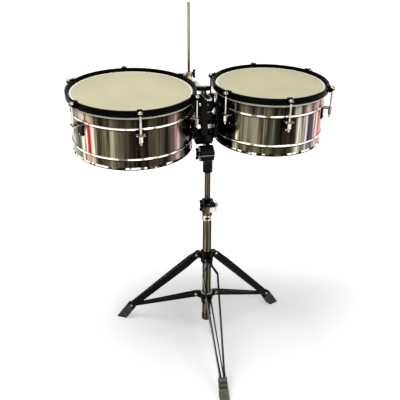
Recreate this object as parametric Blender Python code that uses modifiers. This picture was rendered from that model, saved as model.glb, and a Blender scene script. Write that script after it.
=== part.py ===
"""Timbales: two shallow metal drums on one folding, double-braced tripod stand.

Metres, +Z up.  X runs along the line of the drums, the player stands at -Y,
and the floor is z = 0.  Every piece is its own object, and each moving group
hangs from an empty that sits on the joint it turns or slides on.
"""
import math

import bmesh
import bpy
from mathutils import Matrix, Vector

# ---------------------------------------------------------------- sizes
GAP = 0.0003                  # clearance between neighbouring pieces
ROUND = 24                    # sides of stand tubes and turned pieces
SMALL_ROUND = 10              # sides of pins, screws and rods
DRUM_ROUND = 48               # sides of the drum rings

# drums: nominal 14 in and 13 in, 6 1/2 in deep
LEFT_SHELL_R = 0.1765
RIGHT_SHELL_R = 0.1638
SHELL_WALL = 0.0015
SHELL_DEPTH = 0.1685
BEAD_DROPS = (0.0465, 0.1355)  # bead centres below the bearing edge
BEAD_RISE = 0.0025
BEAD_HALF_WIDTH = 0.0045
ROLL_RISE = 0.0020            # rolled lower edge of the shell
ROLL_HEIGHT = 0.0050
HEAD_FILM = 0.0006
HEAD_RECESS = 0.0092          # head below the top of the counterhoop
SKIRT_DEPTH = 0.0170
FLESH_WIDTH = 0.0042
FLESH_HEIGHT = 0.0135
HOOP_WALL = 0.0066
HOOP_HEIGHT = 0.0190
HOOP_LIP = 0.0032
DRUM_GAP = 0.0540             # between the two counterhoops

# tuning hardware
LUG_COUNT = 6
LUG_START = math.radians(-90.0)
LUG_SPAN = math.radians(60.0)
LUG_PLATE_W = 0.026
LUG_PLATE_H = 0.036
LUG_PLATE_T = 0.0035
LUG_TOP_DROP = 0.0535         # top of the lug plate below the bearing edge
SHELF_W = 0.026
SHELF_REACH = 0.0275
SHELF_T = 0.0030
ROD_R = 0.0030
ROD_TAIL = 0.008              # rod end below its nut
ROD_HEAD_R = 0.0075
ROD_HEAD_H = 0.0070
LUG_NUT_R = 0.0058
LUG_NUT_H = 0.0190
LUG_SCREW_R = 0.0035
LUG_SCREW_H = 0.0022
CLAW_W = 0.0150
CLAW_T = 0.0030
CLAW_SEAT_DROP = 0.0042       # rod head seat below the top of the hoop
CLAW_FOOT = 0.0120
CLAW_REACH = 0.0100           # rod axis outside the hoop

# drum mounts and centre bracket
PIVOT_Y = 0.0600
PIVOT_Z = 0.7285
RIM_ABOVE_PIVOT = 0.1355
LEFT_TILT = math.radians(4.7)
RIGHT_TILT = math.radians(3.5)
DISC_R = 0.0370
DISC_T = 0.0050
BRACKET_HALF_W = 0.0310
PIVOT_SHAFT_R = 0.0060
PIVOT_NUT_R = 0.0110
PIVOT_NUT_T = 0.0140
MOUNT_PLATE_W = 0.034
MOUNT_PLATE_LOW = -0.0015
MOUNT_PLATE_HIGH = 0.0720
MOUNT_SCREW_R = 0.0025
MOUNT_SCREW_HEAD_R = 0.0055
MOUNT_SCREW_HEAD_H = 0.0030
BAR_DEPTH = 0.0250            # front to back size of the bracket bars
LOWER_BAR_RISE = (-0.0455, -0.0255)  # crossbars and post from the height of the drums' pivots
UPPER_BAR_RISE = (0.0245, 0.0435)
POST_HALF_W = 0.0095
POST_TOP_RISE = 0.1010
TILTER_DROP = 0.0635          # tilter bolt below the drums' pivots
TILTER_R = 0.0240
TILTER_SPLIT_X = -0.0060
TILTER_LEFT_X = -0.0260
TILTER_RIGHT_X = 0.0155
TILTER_BOLT_R = 0.0040
TILTER_BOLT_HEAD_R = 0.0090
TILTER_BOLT_HEAD_H = 0.0050
CHEEK_HALF_D = 0.0135
NECK_T = 0.0140
FLANGE_T = 0.0060

# sleeve and tubes
SLEEVE_R = 0.0152
SLEEVE_DROP = (0.0610, 0.0265)  # sleeve ends below the tilter bolt
TUBE_IN_SLEEVE = 0.0200
HEIGHT_TUBE_R = 0.009525      # 3/4 in tube
HEIGHT_TUBE_LOW_Z = 0.3000
BASE_TUBE_R = 0.0143          # 1 1/8 in tube
TUBE_WALL = 0.0012
BASE_TUBE_Z = (0.0720, 0.4965)
PLUG_WALL = 0.0012
PLUG_FLOOR = 0.0030
PLUG_HEIGHT = 0.0190

# height clamp
WINDOW_COLLAR_Z = (0.4440, 0.4615)
WINDOW_COLLAR_R = 0.0168
WINDOW_W = 0.0120
WINDOW_H = 0.0065
WINDOW_TURN = math.radians(-13.0)
CLAMP_BASE_Z = (0.4700, 0.4968)
CLAMP_BASE_R = 0.0190
CLAMP_EAR_X = (0.0010, 0.0260)
CLAMP_EAR_Y = (-0.0280, -0.0080)
CLAMP_EAR_H = 0.0180
JAW_Z = (0.4971, 0.5105)
JAW_R = 0.0185
JAW_EAR_X = 0.0185
JAW_EAR_Y = -0.0300
JAW_SLOT = 0.0030
CLAMP_BOLT_Y = -0.0225
CLAMP_BOLT_R = 0.0030
CLAMP_BOLT_HEAD_R = 0.0060
CLAMP_BOLT_HEAD_H = 0.0110

# wing screws
SMALL_WING = 0.0145           # half span of a wing screw
LARGE_WING = 0.0195
WING_HUB_R = 0.0068
WING_HUB_H = 0.0100
WING_T = 0.0050
WING_RISE = 0.0110

# tripod: pivots as radius from the column and height above the floor
LEG_ANGLES = {"front": math.radians(-93.0),
              "right": math.radians(27.0),
              "left": math.radians(147.0)}
HUB_PIVOT_R = 0.0323
HUB_PIVOT_Z = 0.3110
FOOT_RIVET_R = 0.2796
SOLE_PAST_RIVET = 0.0384      # where the boot stands, outside its rivet
TOE_PAST_SOLE = 0.0187
FOOT_RIVET_Z = 0.0541
COLLAR_PIVOT_R = 0.0342
COLLAR_PIVOT_Z = 0.1598
BACK_REACH = 0.2591           # from the column to the drum's rearmost rod
LEG_HALF_W = 0.0110
LEG_T = 0.0030
LEG_HUB_V = 0.0083            # strip centre from the leg's middle plane
LEG_WIDE_V = 0.0240
LEG_FOOT_V = 0.0075
LEG_KINK_S = (0.0180, 0.0450)
BRACE_HALF_W = 0.0080
BRACE_TIP_HALF_W = 0.0050
BRACE_T = 0.0025
BRACE_BEND_S = 0.0120
BRACE_HUB_V = 0.0083
BRACE_FOOT_V = 0.0040
HUB_R = 0.0200
HUB_HALF_H = 0.0190
TONGUE_HALF_V = 0.0065
TONGUE_END_R = 0.0090
PIN_R = 0.0030
PIN_HEAD_R = 0.0052
PIN_HEAD_H = 0.0018
COLLAR_TOP = 0.0140
COLLAR_BOTTOM = 0.0240
COLLAR_LOW_R = 0.0175
COLLAR_SCREW_ANGLE = math.radians(87.0)
COLLAR_BOSS_R = 0.0080
COLLAR_BOSS_REACH = 0.0300
COLLAR_SCREW_R = 0.0030
BOOT_START = 0.0040
BOOT_TOP_W = 0.0310
BOOT_TOP_V = 0.0240
BOOT_SOLE_W = 0.0310
BOOT_SOLE_V = 0.0310
BOOT_POCKET_S = 0.0230
BOOT_WALL_W = 0.0022
BOOT_EDGE = 0.0040

# cowbell holder
SCREW_STEM_R = 0.0040
SCREW_STEM_DEPTH = 0.0250
HANDLE_RISE = (0.0115, 0.0255)  # oval grip above the post
HANDLE_LENGTH = 0.0440
HANDLE_W = 0.0210
STEM_COLLAR_R = 0.0080
ARM_T = 0.0040
ARM_HALF_W = 0.0105
ARM_Y = (-0.0180, 0.2320)
SLOT_HALF_W = 0.0050
SLOT_Y = (-0.0080, 0.1450)
BELL_POST_X = -0.0125
BELL_POST_Y = 0.2220
BELL_POST_R = 0.0040
BELL_POST_RISE = (-0.0288, 0.2402)  # cowbell post's ends from the top of the arm
BELL_CLAMP_W = 0.0200
BELL_CLAMP_H = 0.0260         # clamp block above the arm
BELL_SCREW_RISE = 0.0200      # wing screw above the arm
BELL_SCREW_R = 0.0030

# how joined and cutting shapes meet the piece they shape
OVER = 0.0100                 # a cutter runs this far past the wall it cuts
SINK = 0.0020                 # a joined shape starts this far inside its piece
CHAMFER = 0.0015
INSET = 0.0005                # keeps two joined faces from lying in one plane
ARC_STEPS = 4                 # flats in half a turn of a rounded bar end

# ---------------------------------------------------------------- worked out
LEFT_HOOP_R = LEFT_SHELL_R + 2 * GAP + HEAD_FILM + FLESH_WIDTH + GAP + HOOP_WALL
RIGHT_HOOP_R = RIGHT_SHELL_R + (LEFT_HOOP_R - LEFT_SHELL_R)
LEFT_X = -(DRUM_GAP / 2 + LEFT_HOOP_R)
RIGHT_X = DRUM_GAP / 2 + RIGHT_HOOP_R
LOWER_BAR_Z = tuple(PIVOT_Z + rise for rise in LOWER_BAR_RISE)
UPPER_BAR_Z = tuple(PIVOT_Z + rise for rise in UPPER_BAR_RISE)
POST_TOP_Z = PIVOT_Z + POST_TOP_RISE
HANDLE_Z = tuple(POST_TOP_Z + rise for rise in HANDLE_RISE)
TILTER_Z = PIVOT_Z - TILTER_DROP
SLEEVE_Z = tuple(TILTER_Z - drop for drop in SLEEVE_DROP)
SOLE_R = FOOT_RIVET_R + SOLE_PAST_RIVET
FRONT_REACH = SOLE_R + TOE_PAST_SOLE
BEARING_Z = RIM_ABOVE_PIVOT - HEAD_RECESS - HEAD_FILM - GAP   # in a drum's own frame
LEG_SLOPE = math.atan2(HUB_PIVOT_Z - FOOT_RIVET_Z, FOOT_RIVET_R - HUB_PIVOT_R)
LEG_LENGTH = math.hypot(HUB_PIVOT_Z - FOOT_RIVET_Z, FOOT_RIVET_R - HUB_PIVOT_R)
BRACE_SLOPE = math.atan2(COLLAR_PIVOT_Z - FOOT_RIVET_Z, FOOT_RIVET_R - COLLAR_PIVOT_R)
BRACE_LENGTH = math.hypot(COLLAR_PIVOT_Z - FOOT_RIVET_Z, FOOT_RIVET_R - COLLAR_PIVOT_R)
ARM_TOP_Z = POST_TOP_Z + GAP + ARM_T
STAND_X = -(LEFT_X - LEFT_HOOP_R + RIGHT_X + RIGHT_HOOP_R) / 2
STAND_Y = (FRONT_REACH - BACK_REACH) / 2


# ---------------------------------------------------------------- helpers
def clear_scene():
    for item in list(bpy.data.objects):
        bpy.data.objects.remove(item, do_unlink=True)
    for group in list(bpy.data.collections):
        bpy.data.collections.remove(group)


def new_collection(name, hidden):
    group = bpy.data.collections.new(name)
    bpy.context.scene.collection.children.link(group)
    group.hide_render = hidden
    return group


def new_material(name, colour, roughness, metallic):
    material = bpy.data.materials.new(name)
    material.use_nodes = True
    shader = material.node_tree.nodes["Principled BSDF"]
    shader.inputs["Base Color"].default_value = (*colour, 1.0)
    shader.inputs["Roughness"].default_value = roughness
    shader.inputs["Metallic"].default_value = metallic
    material.diffuse_color = (*colour, 1.0)
    return material


def place(item, parent, location=(0, 0, 0), rotation=(0, 0, 0)):
    item.parent = parent
    item.location = location
    item.rotation_euler = rotation
    return item


def frame_empty(name, parent, location=(0, 0, 0), rotation=(0, 0, 0)):
    empty = bpy.data.objects.new(name, None)
    empty.empty_display_size = 0.02
    PARTS.objects.link(empty)
    return place(empty, parent, location, rotation)


def finish_mesh(mesh):
    mesh.shade_smooth()
    mesh.set_sharp_from_angle(angle=math.radians(32))
    return mesh


def add_part(name, mesh, finish, parent, location=(0, 0, 0), rotation=(0, 0, 0)):
    part = bpy.data.objects.new(name, finish_mesh(mesh))
    part.data.materials.append(finish.copy())
    part.data.materials[0].name = name
    PARTS.objects.link(part)
    return place(part, parent, location, rotation)


def add_tool(name, mesh, parent, location=(0, 0, 0), rotation=(0, 0, 0)):
    tool = bpy.data.objects.new(name, mesh)
    tool.hide_render = True
    tool.display_type = "WIRE"
    TOOLS.objects.link(tool)
    return place(tool, parent, location, rotation)


def boolean(part, tool, operation):
    step = part.modifiers.new(operation.lower() + "_" + tool.name, "BOOLEAN")
    step.operation = operation
    step.solver = "EXACT"
    step.object = tool


def cut(part, tool):
    boolean(part, tool, "DIFFERENCE")


def join(part, tool):
    boolean(part, tool, "UNION")


def mesh_from(bm, name):
    bmesh.ops.recalc_face_normals(bm, faces=bm.faces)
    mesh = bpy.data.meshes.new(name)
    bm.to_mesh(mesh)
    bm.free()
    return mesh


def block_mesh(name, low, high, edge=0.0):
    """A box between two corners, with its edges rounded by one chamfer."""
    bm = bmesh.new()
    bmesh.ops.create_cube(bm, size=1.0)
    size = Vector(high) - Vector(low)
    middle = (Vector(high) + Vector(low)) / 2
    bmesh.ops.scale(bm, vec=size, verts=bm.verts)
    bmesh.ops.translate(bm, vec=middle, verts=bm.verts)
    if edge > 0:
        bmesh.ops.bevel(bm, geom=bm.edges[:], offset=edge, segments=1, affect="EDGES")
    return mesh_from(bm, name)


def rod_mesh(name, radius, start, end, axis="Z", centre=(0.0, 0.0), sides=SMALL_ROUND):
    """A cylinder along one axis, from start to end, at centre on the other two."""
    bm = bmesh.new()
    bmesh.ops.create_cone(bm, cap_ends=True, segments=sides, radius1=radius,
                          radius2=radius, depth=end - start)
    bmesh.ops.translate(bm, vec=(0, 0, (start + end) / 2), verts=bm.verts)
    first, second = centre
    turns = {"Z": (Matrix.Identity(3), Vector((first, second, 0))),
             "X": (Matrix.Rotation(math.pi / 2, 3, "Y"), Vector((0, first, second))),
             "Y": (Matrix.Rotation(-math.pi / 2, 3, "X"), Vector((first, 0, second)))}
    turn, offset = turns[axis]
    bmesh.ops.rotate(bm, matrix=turn, verts=bm.verts)
    bmesh.ops.translate(bm, vec=offset, verts=bm.verts)
    return mesh_from(bm, name)


def turned_mesh(name, profile, sides, loop=False):
    """Turn a profile of (radius, height) points about Z with a Screw modifier."""
    mesh = bpy.data.meshes.new(name)
    count = len(profile)
    edges = [(i, i + 1) for i in range(count - 1)]
    if loop:
        edges.append((count - 1, 0))
    mesh.from_pydata([(r, 0.0, z) for r, z in profile], edges, [])
    source = bpy.data.objects.new(name, mesh)
    bpy.context.scene.collection.objects.link(source)
    screw = source.modifiers.new("turn", "SCREW")
    screw.axis = "Z"
    screw.steps = sides
    screw.render_steps = sides
    screw.use_merge_vertices = True
    screw.merge_threshold = 0.00001
    result = evaluated_mesh(source)
    bpy.data.objects.remove(source)
    return result


def evaluated_mesh(item):
    graph = bpy.context.evaluated_depsgraph_get()
    graph.update()
    return bpy.data.meshes.new_from_object(item.evaluated_get(graph))


def flat_mesh(name, outlines, thickness):
    """Fill flat outlines in XY, holes included, and give them a thickness along Z."""
    curve = bpy.data.curves.new(name, "CURVE")
    curve.dimensions = "2D"
    curve.fill_mode = "BOTH"
    curve.extrude = thickness / 2
    for outline in outlines:
        spline = curve.splines.new("POLY")
        spline.points.add(len(outline) - 1)
        for point, (x, y) in zip(spline.points, outline):
            point.co = (x, y, 0.0, 1.0)
        spline.use_cyclic_u = True
    source = bpy.data.objects.new(name, curve)
    bpy.context.scene.collection.objects.link(source)
    bm = bmesh.new()
    bm.from_mesh(evaluated_mesh(source))
    bpy.data.objects.remove(source)
    bmesh.ops.remove_doubles(bm, verts=bm.verts, dist=0.00001)
    return mesh_from(bm, name)


def arc(centre, radius, start, end, steps):
    points = []
    for i in range(steps + 1):
        angle = start + (end - start) * i / steps
        points.append((centre[0] + radius * math.cos(angle), centre[1] + radius * math.sin(angle)))
    return points


def circle(centre, radius, sides=SMALL_ROUND):
    return arc(centre, radius, 0.0, 2 * math.pi, sides)[:-1]


def bar_outline(length, start_r, end_r):
    """A flat bar from s = 0 to s = length with a round end about each pivot."""
    far = arc((length, 0), end_r, -math.pi / 2, math.pi / 2, ARC_STEPS)
    near = arc((0, 0), start_r, math.pi / 2, 3 * math.pi / 2, ARC_STEPS)
    return far + near


# ---------------------------------------------------------------- drums
def lug_angles():
    return [LUG_START + i * LUG_SPAN for i in range(LUG_COUNT)]


def bead(radius, drop):
    z = BEARING_Z - drop
    return [(radius, z + BEAD_HALF_WIDTH),
            (radius + BEAD_RISE, z + BEAD_HALF_WIDTH / 3),
            (radius + BEAD_RISE, z - BEAD_HALF_WIDTH / 3),
            (radius, z - BEAD_HALF_WIDTH)]


def drum_shell(side, radius, frame, centre, plate_side):
    bottom = BEARING_Z - SHELL_DEPTH
    inner = radius - SHELL_WALL
    profile = [(inner, BEARING_Z), (radius, BEARING_Z)]
    for drop in BEAD_DROPS:
        profile += bead(radius, drop)
    profile += [(radius, bottom + ROLL_HEIGHT), (radius + ROLL_RISE, bottom + ROLL_HEIGHT * 0.7),
                (radius + ROLL_RISE, bottom + ROLL_HEIGHT * 0.2), (radius, bottom), (inner, bottom)]
    shell = add_part(side + "_shell", turned_mesh("shell", profile, DRUM_ROUND, loop=True),
                     CHROME, frame, centre)
    for i, z in enumerate(mount_screw_heights()):
        start, end = sorted((plate_side * (inner - OVER), plate_side * (radius + OVER)))
        hole = rod_mesh("hole", MOUNT_SCREW_R + GAP, start, end, "X", (0, z))
        cut(shell, add_tool("%s_shell_hole_%d" % (side, i), hole, frame, centre))
    return shell


def mount_screw_heights():
    middle = (MOUNT_PLATE_LOW + MOUNT_PLATE_HIGH) / 2
    spread = (MOUNT_PLATE_HIGH - MOUNT_PLATE_LOW) * 0.28
    return middle - spread, middle + spread


def drum_head(side, radius, frame, centre):
    inner = radius + GAP
    outer = inner + HEAD_FILM
    top = BEARING_Z + GAP + HEAD_FILM
    profile = [(0.0, top), (outer, top), (outer, top - SKIRT_DEPTH), (inner, top - SKIRT_DEPTH),
               (inner, top - HEAD_FILM), (0.0, top - HEAD_FILM)]
    return add_part(side + "_head", turned_mesh("head", profile, DRUM_ROUND), PLASTIC_FILM,
                    frame, centre)


def flesh_hoop(side, radius, frame, centre):
    inner = radius + 2 * GAP + HEAD_FILM
    outer = inner + FLESH_WIDTH
    low = BEARING_Z + GAP + HEAD_FILM - SKIRT_DEPTH
    high = low + FLESH_HEIGHT
    profile = [(inner, high), (outer, high), (outer, low), (inner, low)]
    return add_part(side + "_flesh_hoop", turned_mesh("flesh", profile, DRUM_ROUND, loop=True),
                    CREAM, frame, centre)


def counterhoop(side, outer, frame, centre):
    inner = outer - HOOP_WALL
    lip_inner = inner - FLESH_WIDTH
    top = RIM_ABOVE_PIVOT
    lip_low = BEARING_Z + GAP + HEAD_FILM - SKIRT_DEPTH + FLESH_HEIGHT + GAP
    profile = [(inner, top), (outer, top), (outer, top - HOOP_HEIGHT), (inner, top - HOOP_HEIGHT),
               (inner, lip_low), (lip_inner, lip_low), (lip_inner, lip_low + HOOP_LIP),
               (inner, lip_low + HOOP_LIP)]
    return add_part(side + "_counterhoop", turned_mesh("hoop", profile, DRUM_ROUND, loop=True),
                    BLACK, frame, centre)


def claw_mesh(outer):
    """Side view of a claw in (radius, height), given a width across the drum."""
    wall_in = outer + GAP
    wall_out = outer + GAP + CLAW_T
    top = RIM_ABOVE_PIVOT + GAP
    hook = outer - HOOP_WALL - GAP
    seat = RIM_ABOVE_PIVOT - CLAW_SEAT_DROP
    tip = outer + CLAW_REACH + ROD_HEAD_R
    foot = seat - CLAW_FOOT
    outline = [(hook, top), (hook, top + CLAW_T), (wall_out, top + CLAW_T), (wall_out + INSET, seat),
               (tip, seat), (tip, seat - CLAW_T), (wall_out + SINK, foot), (wall_in, foot), (wall_in, top)]
    body = flat_mesh("claw", [outline], CLAW_W)
    body.transform(Matrix.Rotation(math.pi / 2, 4, "X"))
    return body


def tension_rod(name, hoop_r, rod_low, nut_top, frame):
    """Rod with its round head, the claw that hooks over the hoop and the nut under the shelf."""
    rod_x = hoop_r + CLAW_REACH
    seat = RIM_ABOVE_PIVOT - CLAW_SEAT_DROP
    profile = [(0.0, seat + ROD_HEAD_H), (ROD_HEAD_R * 0.6, seat + ROD_HEAD_H),
               (ROD_HEAD_R, seat + ROD_HEAD_H * 0.4), (ROD_HEAD_R, seat - CLAW_T / 2),
               (ROD_R, seat - CLAW_T / 2), (ROD_R, rod_low), (0.0, rod_low)]
    part = add_part(name, turned_mesh("rod", profile, 8), CHROME, frame, (rod_x, 0, 0))
    join(part, add_tool(name + "_claw", claw_mesh(hoop_r), frame))
    nut = rod_mesh("nut", LUG_NUT_R, nut_top - LUG_NUT_H, nut_top, centre=(rod_x, 0), sides=6)
    join(part, add_tool(name + "_nut", nut, frame))


def lug(name, shell_r, hoop_r, top, frame):
    """Lug bracket on the shell: a plate with a shelf on top and a small screw."""
    plate_x = shell_r + GAP
    plate_face = plate_x + LUG_PLATE_T
    plate = block_mesh("plate", (plate_x, -LUG_PLATE_W / 2, top - LUG_PLATE_H),
                       (plate_face, LUG_PLATE_W / 2, top - SHELF_T / 2))
    part = add_part(name, plate, BLACK, frame)
    shelf = block_mesh("shelf", (plate_x + GAP, -SHELF_W / 2 - GAP, top - SHELF_T),
                       (plate_x + SHELF_REACH, SHELF_W / 2 + GAP, top))
    join(part, add_tool(name + "_shelf", shelf, frame))
    hole = rod_mesh("hole", ROD_R + GAP, top - OVER, top + OVER, centre=(hoop_r + CLAW_REACH, 0), sides=8)
    cut(part, add_tool(name + "_hole", hole, frame))
    screw_z = top - LUG_PLATE_H * 0.85
    screw = rod_mesh("screw", LUG_SCREW_R, plate_face - SINK, plate_face + LUG_SCREW_H, "X", (0, screw_z), 8)
    join(part, add_tool(name + "_screw", screw, frame))


def tuning_hardware(side, shell_r, hoop_r, frame, centre):
    """One lug bracket and one tension rod with its claw at every lug angle."""
    top = BEARING_Z - LUG_TOP_DROP
    nut_top = top - SHELF_T - GAP
    rod_low = nut_top - LUG_NUT_H - ROD_TAIL
    for i, angle in enumerate(lug_angles()):
        spot = frame_empty("%s_lug_axis_%d" % (side, i + 1), frame, centre, (0, 0, angle))
        lug("%s_lug_%d" % (side, i + 1), shell_r, hoop_r, top, spot)
        tension_rod("%s_tension_rod_%d" % (side, i + 1), hoop_r, rod_low, nut_top, spot)


def drum_mount(side, sign, shell_r, frame, centre):
    """Tilter disc, plate bolted to the shell and pivot shaft with its nut, as one casting."""
    disc_in = BRACKET_HALF_W + GAP
    disc_out = disc_in + DISC_T
    wall = abs(centre[0]) - shell_r
    start, end = sorted((sign * disc_in, sign * disc_out))
    mount = add_part(side + "_mount", rod_mesh("mount", DISC_R, start, end, "X", sides=ROUND),
                     BLACK, frame)
    low_x, high_x = sorted((sign * (disc_out - DISC_T / 2), sign * (wall + 3 * SINK)))
    plate = block_mesh("plate", (low_x, -MOUNT_PLATE_W / 2, MOUNT_PLATE_LOW),
                       (high_x, MOUNT_PLATE_W / 2, MOUNT_PLATE_HIGH))
    join(mount, add_tool(side + "_mount_plate", plate, frame))
    start, end = sorted((sign * (POST_HALF_W + GAP), sign * (disc_in + DISC_T / 2)))
    shaft = rod_mesh("shaft", PIVOT_SHAFT_R, start, end, "X")
    join(mount, add_tool(side + "_mount_shaft", shaft, frame))
    nut_out = BRACKET_HALF_W - DISC_T - GAP
    start, end = sorted((sign * (nut_out - PIVOT_NUT_T), sign * nut_out))
    nut = rod_mesh("nut", PIVOT_NUT_R, start, end, "X", sides=6)
    join(mount, add_tool(side + "_mount_nut", nut, frame))
    bore = rod_mesh("bore", shell_r + GAP, -SHELL_DEPTH, SHELL_DEPTH, sides=DRUM_ROUND)
    cut(mount, add_tool(side + "_mount_saddle", bore, frame, centre))
    facet = MOUNT_SCREW_HEAD_R * math.tan(math.pi / DRUM_ROUND)
    inner = wall + SHELL_WALL + GAP + facet
    depth = inner - (disc_out - DISC_T / 2)
    profile = [(0.0, MOUNT_SCREW_HEAD_H), (MOUNT_SCREW_HEAD_R * 0.7, MOUNT_SCREW_HEAD_H),
               (MOUNT_SCREW_HEAD_R, MOUNT_SCREW_HEAD_H * 0.5), (MOUNT_SCREW_HEAD_R, 0.0),
               (MOUNT_SCREW_R, 0.0), (MOUNT_SCREW_R, -depth), (0.0, -depth)]
    for i, z in enumerate(mount_screw_heights()):
        screw = turned_mesh("screw", profile, SMALL_ROUND)
        join(mount, add_tool("%s_mount_screw_%d" % (side, i), screw, frame, (sign * inner, 0, z),
                             (0, sign * math.pi / 2, 0)))


def drum(side, sign, shell_r, hoop_r, centre_x, tilt):
    frame = frame_empty(side + "_drum_axis", BRACKET_FRAME, (0, PIVOT_Y, PIVOT_Z - TILTER_Z), (tilt, 0, 0))
    centre = (centre_x, 0, 0)
    drum_shell(side, shell_r, frame, centre, -sign)
    drum_head(side, shell_r, frame, centre)
    flesh_hoop(side, shell_r, frame, centre)
    counterhoop(side, hoop_r, frame, centre)
    tuning_hardware(side, shell_r, hoop_r, frame, centre)
    drum_mount(side, sign, shell_r, frame, centre)


# ---------------------------------------------------------------- centre bracket and tilter
def centre_bracket():
    """Post with two crossbars and a disc at each side, bored for the drums' pivot shafts."""
    front, back = PIVOT_Y - BAR_DEPTH / 2, PIVOT_Y + BAR_DEPTH / 2
    foot = LOWER_BAR_Z[0] - TILTER_Z
    top = POST_TOP_Z - TILTER_Z
    pivot = (PIVOT_Y, PIVOT_Z - TILTER_Z)
    post = block_mesh("post", (-POST_HALF_W, front, foot), (POST_HALF_W, back, top))
    bracket = add_part("centre_bracket", post, BLACK, BRACKET_FRAME)
    bar_end = BRACKET_HALF_W - DISC_T / 2
    for name, (low, high), inset in (("lower", LOWER_BAR_Z, INSET), ("upper", UPPER_BAR_Z, 2 * INSET)):
        bar = block_mesh("bar", (-bar_end, front + inset, low - TILTER_Z),
                         (bar_end, back - inset, high - TILTER_Z))
        join(bracket, add_tool("bracket_%s_bar" % name, bar, BRACKET_FRAME))
    for name, sign in (("left", -1), ("right", 1)):
        start, end = sorted((sign * (BRACKET_HALF_W - DISC_T), sign * BRACKET_HALF_W))
        disc = rod_mesh("disc", DISC_R, start, end, "X", pivot, ROUND)
        join(bracket, add_tool("bracket_%s_disc" % name, disc, BRACKET_FRAME))
        start, end = sorted((sign * (POST_HALF_W + GAP / 2), sign * (BRACKET_HALF_W + OVER)))
        bore = rod_mesh("bore", PIVOT_SHAFT_R + GAP, start, end, "X", pivot)
        cut(bracket, add_tool("bracket_%s_bore" % name, bore, BRACKET_FRAME))
    trim = block_mesh("trim", (-BRACKET_HALF_W - OVER, PIVOT_Y - DISC_R, foot - DISC_R),
                      (BRACKET_HALF_W + OVER, PIVOT_Y + DISC_R, foot))
    cut(bracket, add_tool("bracket_foot_trim", trim, BRACKET_FRAME))
    stem = rod_mesh("stem", SCREW_STEM_R + GAP, top - SCREW_STEM_DEPTH - GAP, top + OVER, centre=(0, PIVOT_Y))
    cut(bracket, add_tool("bracket_screw_hole", stem, BRACKET_FRAME))


def tilter_base():
    """Black sleeve over the height tube with one cheek of the tilter."""
    low, high = (z - SLEEVE_Z[0] for z in SLEEVE_Z)
    bore = HEIGHT_TUBE_R + GAP
    profile = [(0.0, high), (SLEEVE_R, high), (SLEEVE_R, low + SINK), (SLEEVE_R - SINK, low),
               (bore, low), (bore, TUBE_IN_SLEEVE + GAP), (0.0, TUBE_IN_SLEEVE + GAP)]
    base = add_part("tilter_base", turned_mesh("sleeve", profile, ROUND), BLACK, SWIVEL_FRAME)
    axis_z = TILTER_Z - SLEEVE_Z[0]
    right = TILTER_SPLIT_X - GAP
    cheek = block_mesh("cheek", (-CHEEK_HALF_D, -CHEEK_HALF_D, high - SINK), (right, CHEEK_HALF_D, axis_z))
    join(base, add_tool("tilter_cheek", cheek, SWIVEL_FRAME))
    disc = rod_mesh("disc", TILTER_R, TILTER_LEFT_X, right, "X", (0, axis_z), ROUND)
    join(base, add_tool("tilter_left_disc", disc, SWIVEL_FRAME))
    hole = rod_mesh("hole", TILTER_BOLT_R + GAP, TILTER_LEFT_X - OVER, right + OVER, "X", (0, axis_z))
    cut(base, add_tool("tilter_base_hole", hole, SWIVEL_FRAME))


def tilter_head():
    """Right half of the tilter with the neck that carries the bracket."""
    head = add_part("tilter_head", rod_mesh("disc", TILTER_R, TILTER_SPLIT_X, TILTER_RIGHT_X, "X",
                                            sides=ROUND), BLACK, BRACKET_FRAME)
    top = LOWER_BAR_Z[0] - TILTER_Z - GAP
    back = PIVOT_Y + BAR_DEPTH / 2
    front = PIVOT_Y - BAR_DEPTH / 2
    outline = [(0.0, -TILTER_R * 0.9), (TILTER_R * 0.9, -TILTER_R * 0.5), (back, top - FLANGE_T),
               (back, top), (front, top), (front - 2 * SINK, top), (0.0, TILTER_R * 0.9)]
    neck = flat_mesh("neck", [outline], NECK_T)
    middle = (TILTER_SPLIT_X + TILTER_RIGHT_X) / 2
    turn = Matrix(((0, 0, 1, middle), (1, 0, 0, 0), (0, 1, 0, 0), (0, 0, 0, 1)))
    neck.transform(turn)
    join(head, add_tool("tilter_neck", neck, BRACKET_FRAME))
    flange_x = BRACKET_HALF_W - DISC_T - GAP
    flange = block_mesh("flange", (-flange_x, front + INSET, top - FLANGE_T), (flange_x, back - INSET, top))
    join(head, add_tool("tilter_flange", flange, BRACKET_FRAME))
    hole = rod_mesh("hole", TILTER_BOLT_R + GAP, TILTER_SPLIT_X - OVER, TILTER_RIGHT_X + OVER, "X")
    cut(head, add_tool("tilter_head_hole", hole, BRACKET_FRAME))


def tilter_bolt():
    """Bolt through both halves of the tilter, with its wing on the left end."""
    reach = TILTER_RIGHT_X + GAP - TILTER_LEFT_X + GAP
    wing_part("tilter_wing_bolt", BRACKET_FRAME, TILTER_BOLT_R, reach, LARGE_WING,
              (TILTER_LEFT_X - GAP, 0, 0), (0, -math.pi / 2, 0), TILTER_BOLT_HEAD_R, TILTER_BOLT_HEAD_H)


# ---------------------------------------------------------------- wing screws
def wing_mesh(span):
    """The two rounded ears of a wing screw, flat across Y."""
    ears = [(-WING_HUB_R * 0.8, SINK / 2), (-span, WING_RISE * 0.35), (-span, WING_RISE * 0.85),
            (-span * 0.8, WING_RISE * 1.1), (-WING_HUB_R * 0.5, WING_HUB_H * 0.85)]
    outline = ears + [(-x, z) for x, z in reversed(ears)]
    blade = flat_mesh("blade", [outline], WING_T)
    blade.transform(Matrix.Rotation(math.pi / 2, 4, "X"))
    return blade


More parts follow.
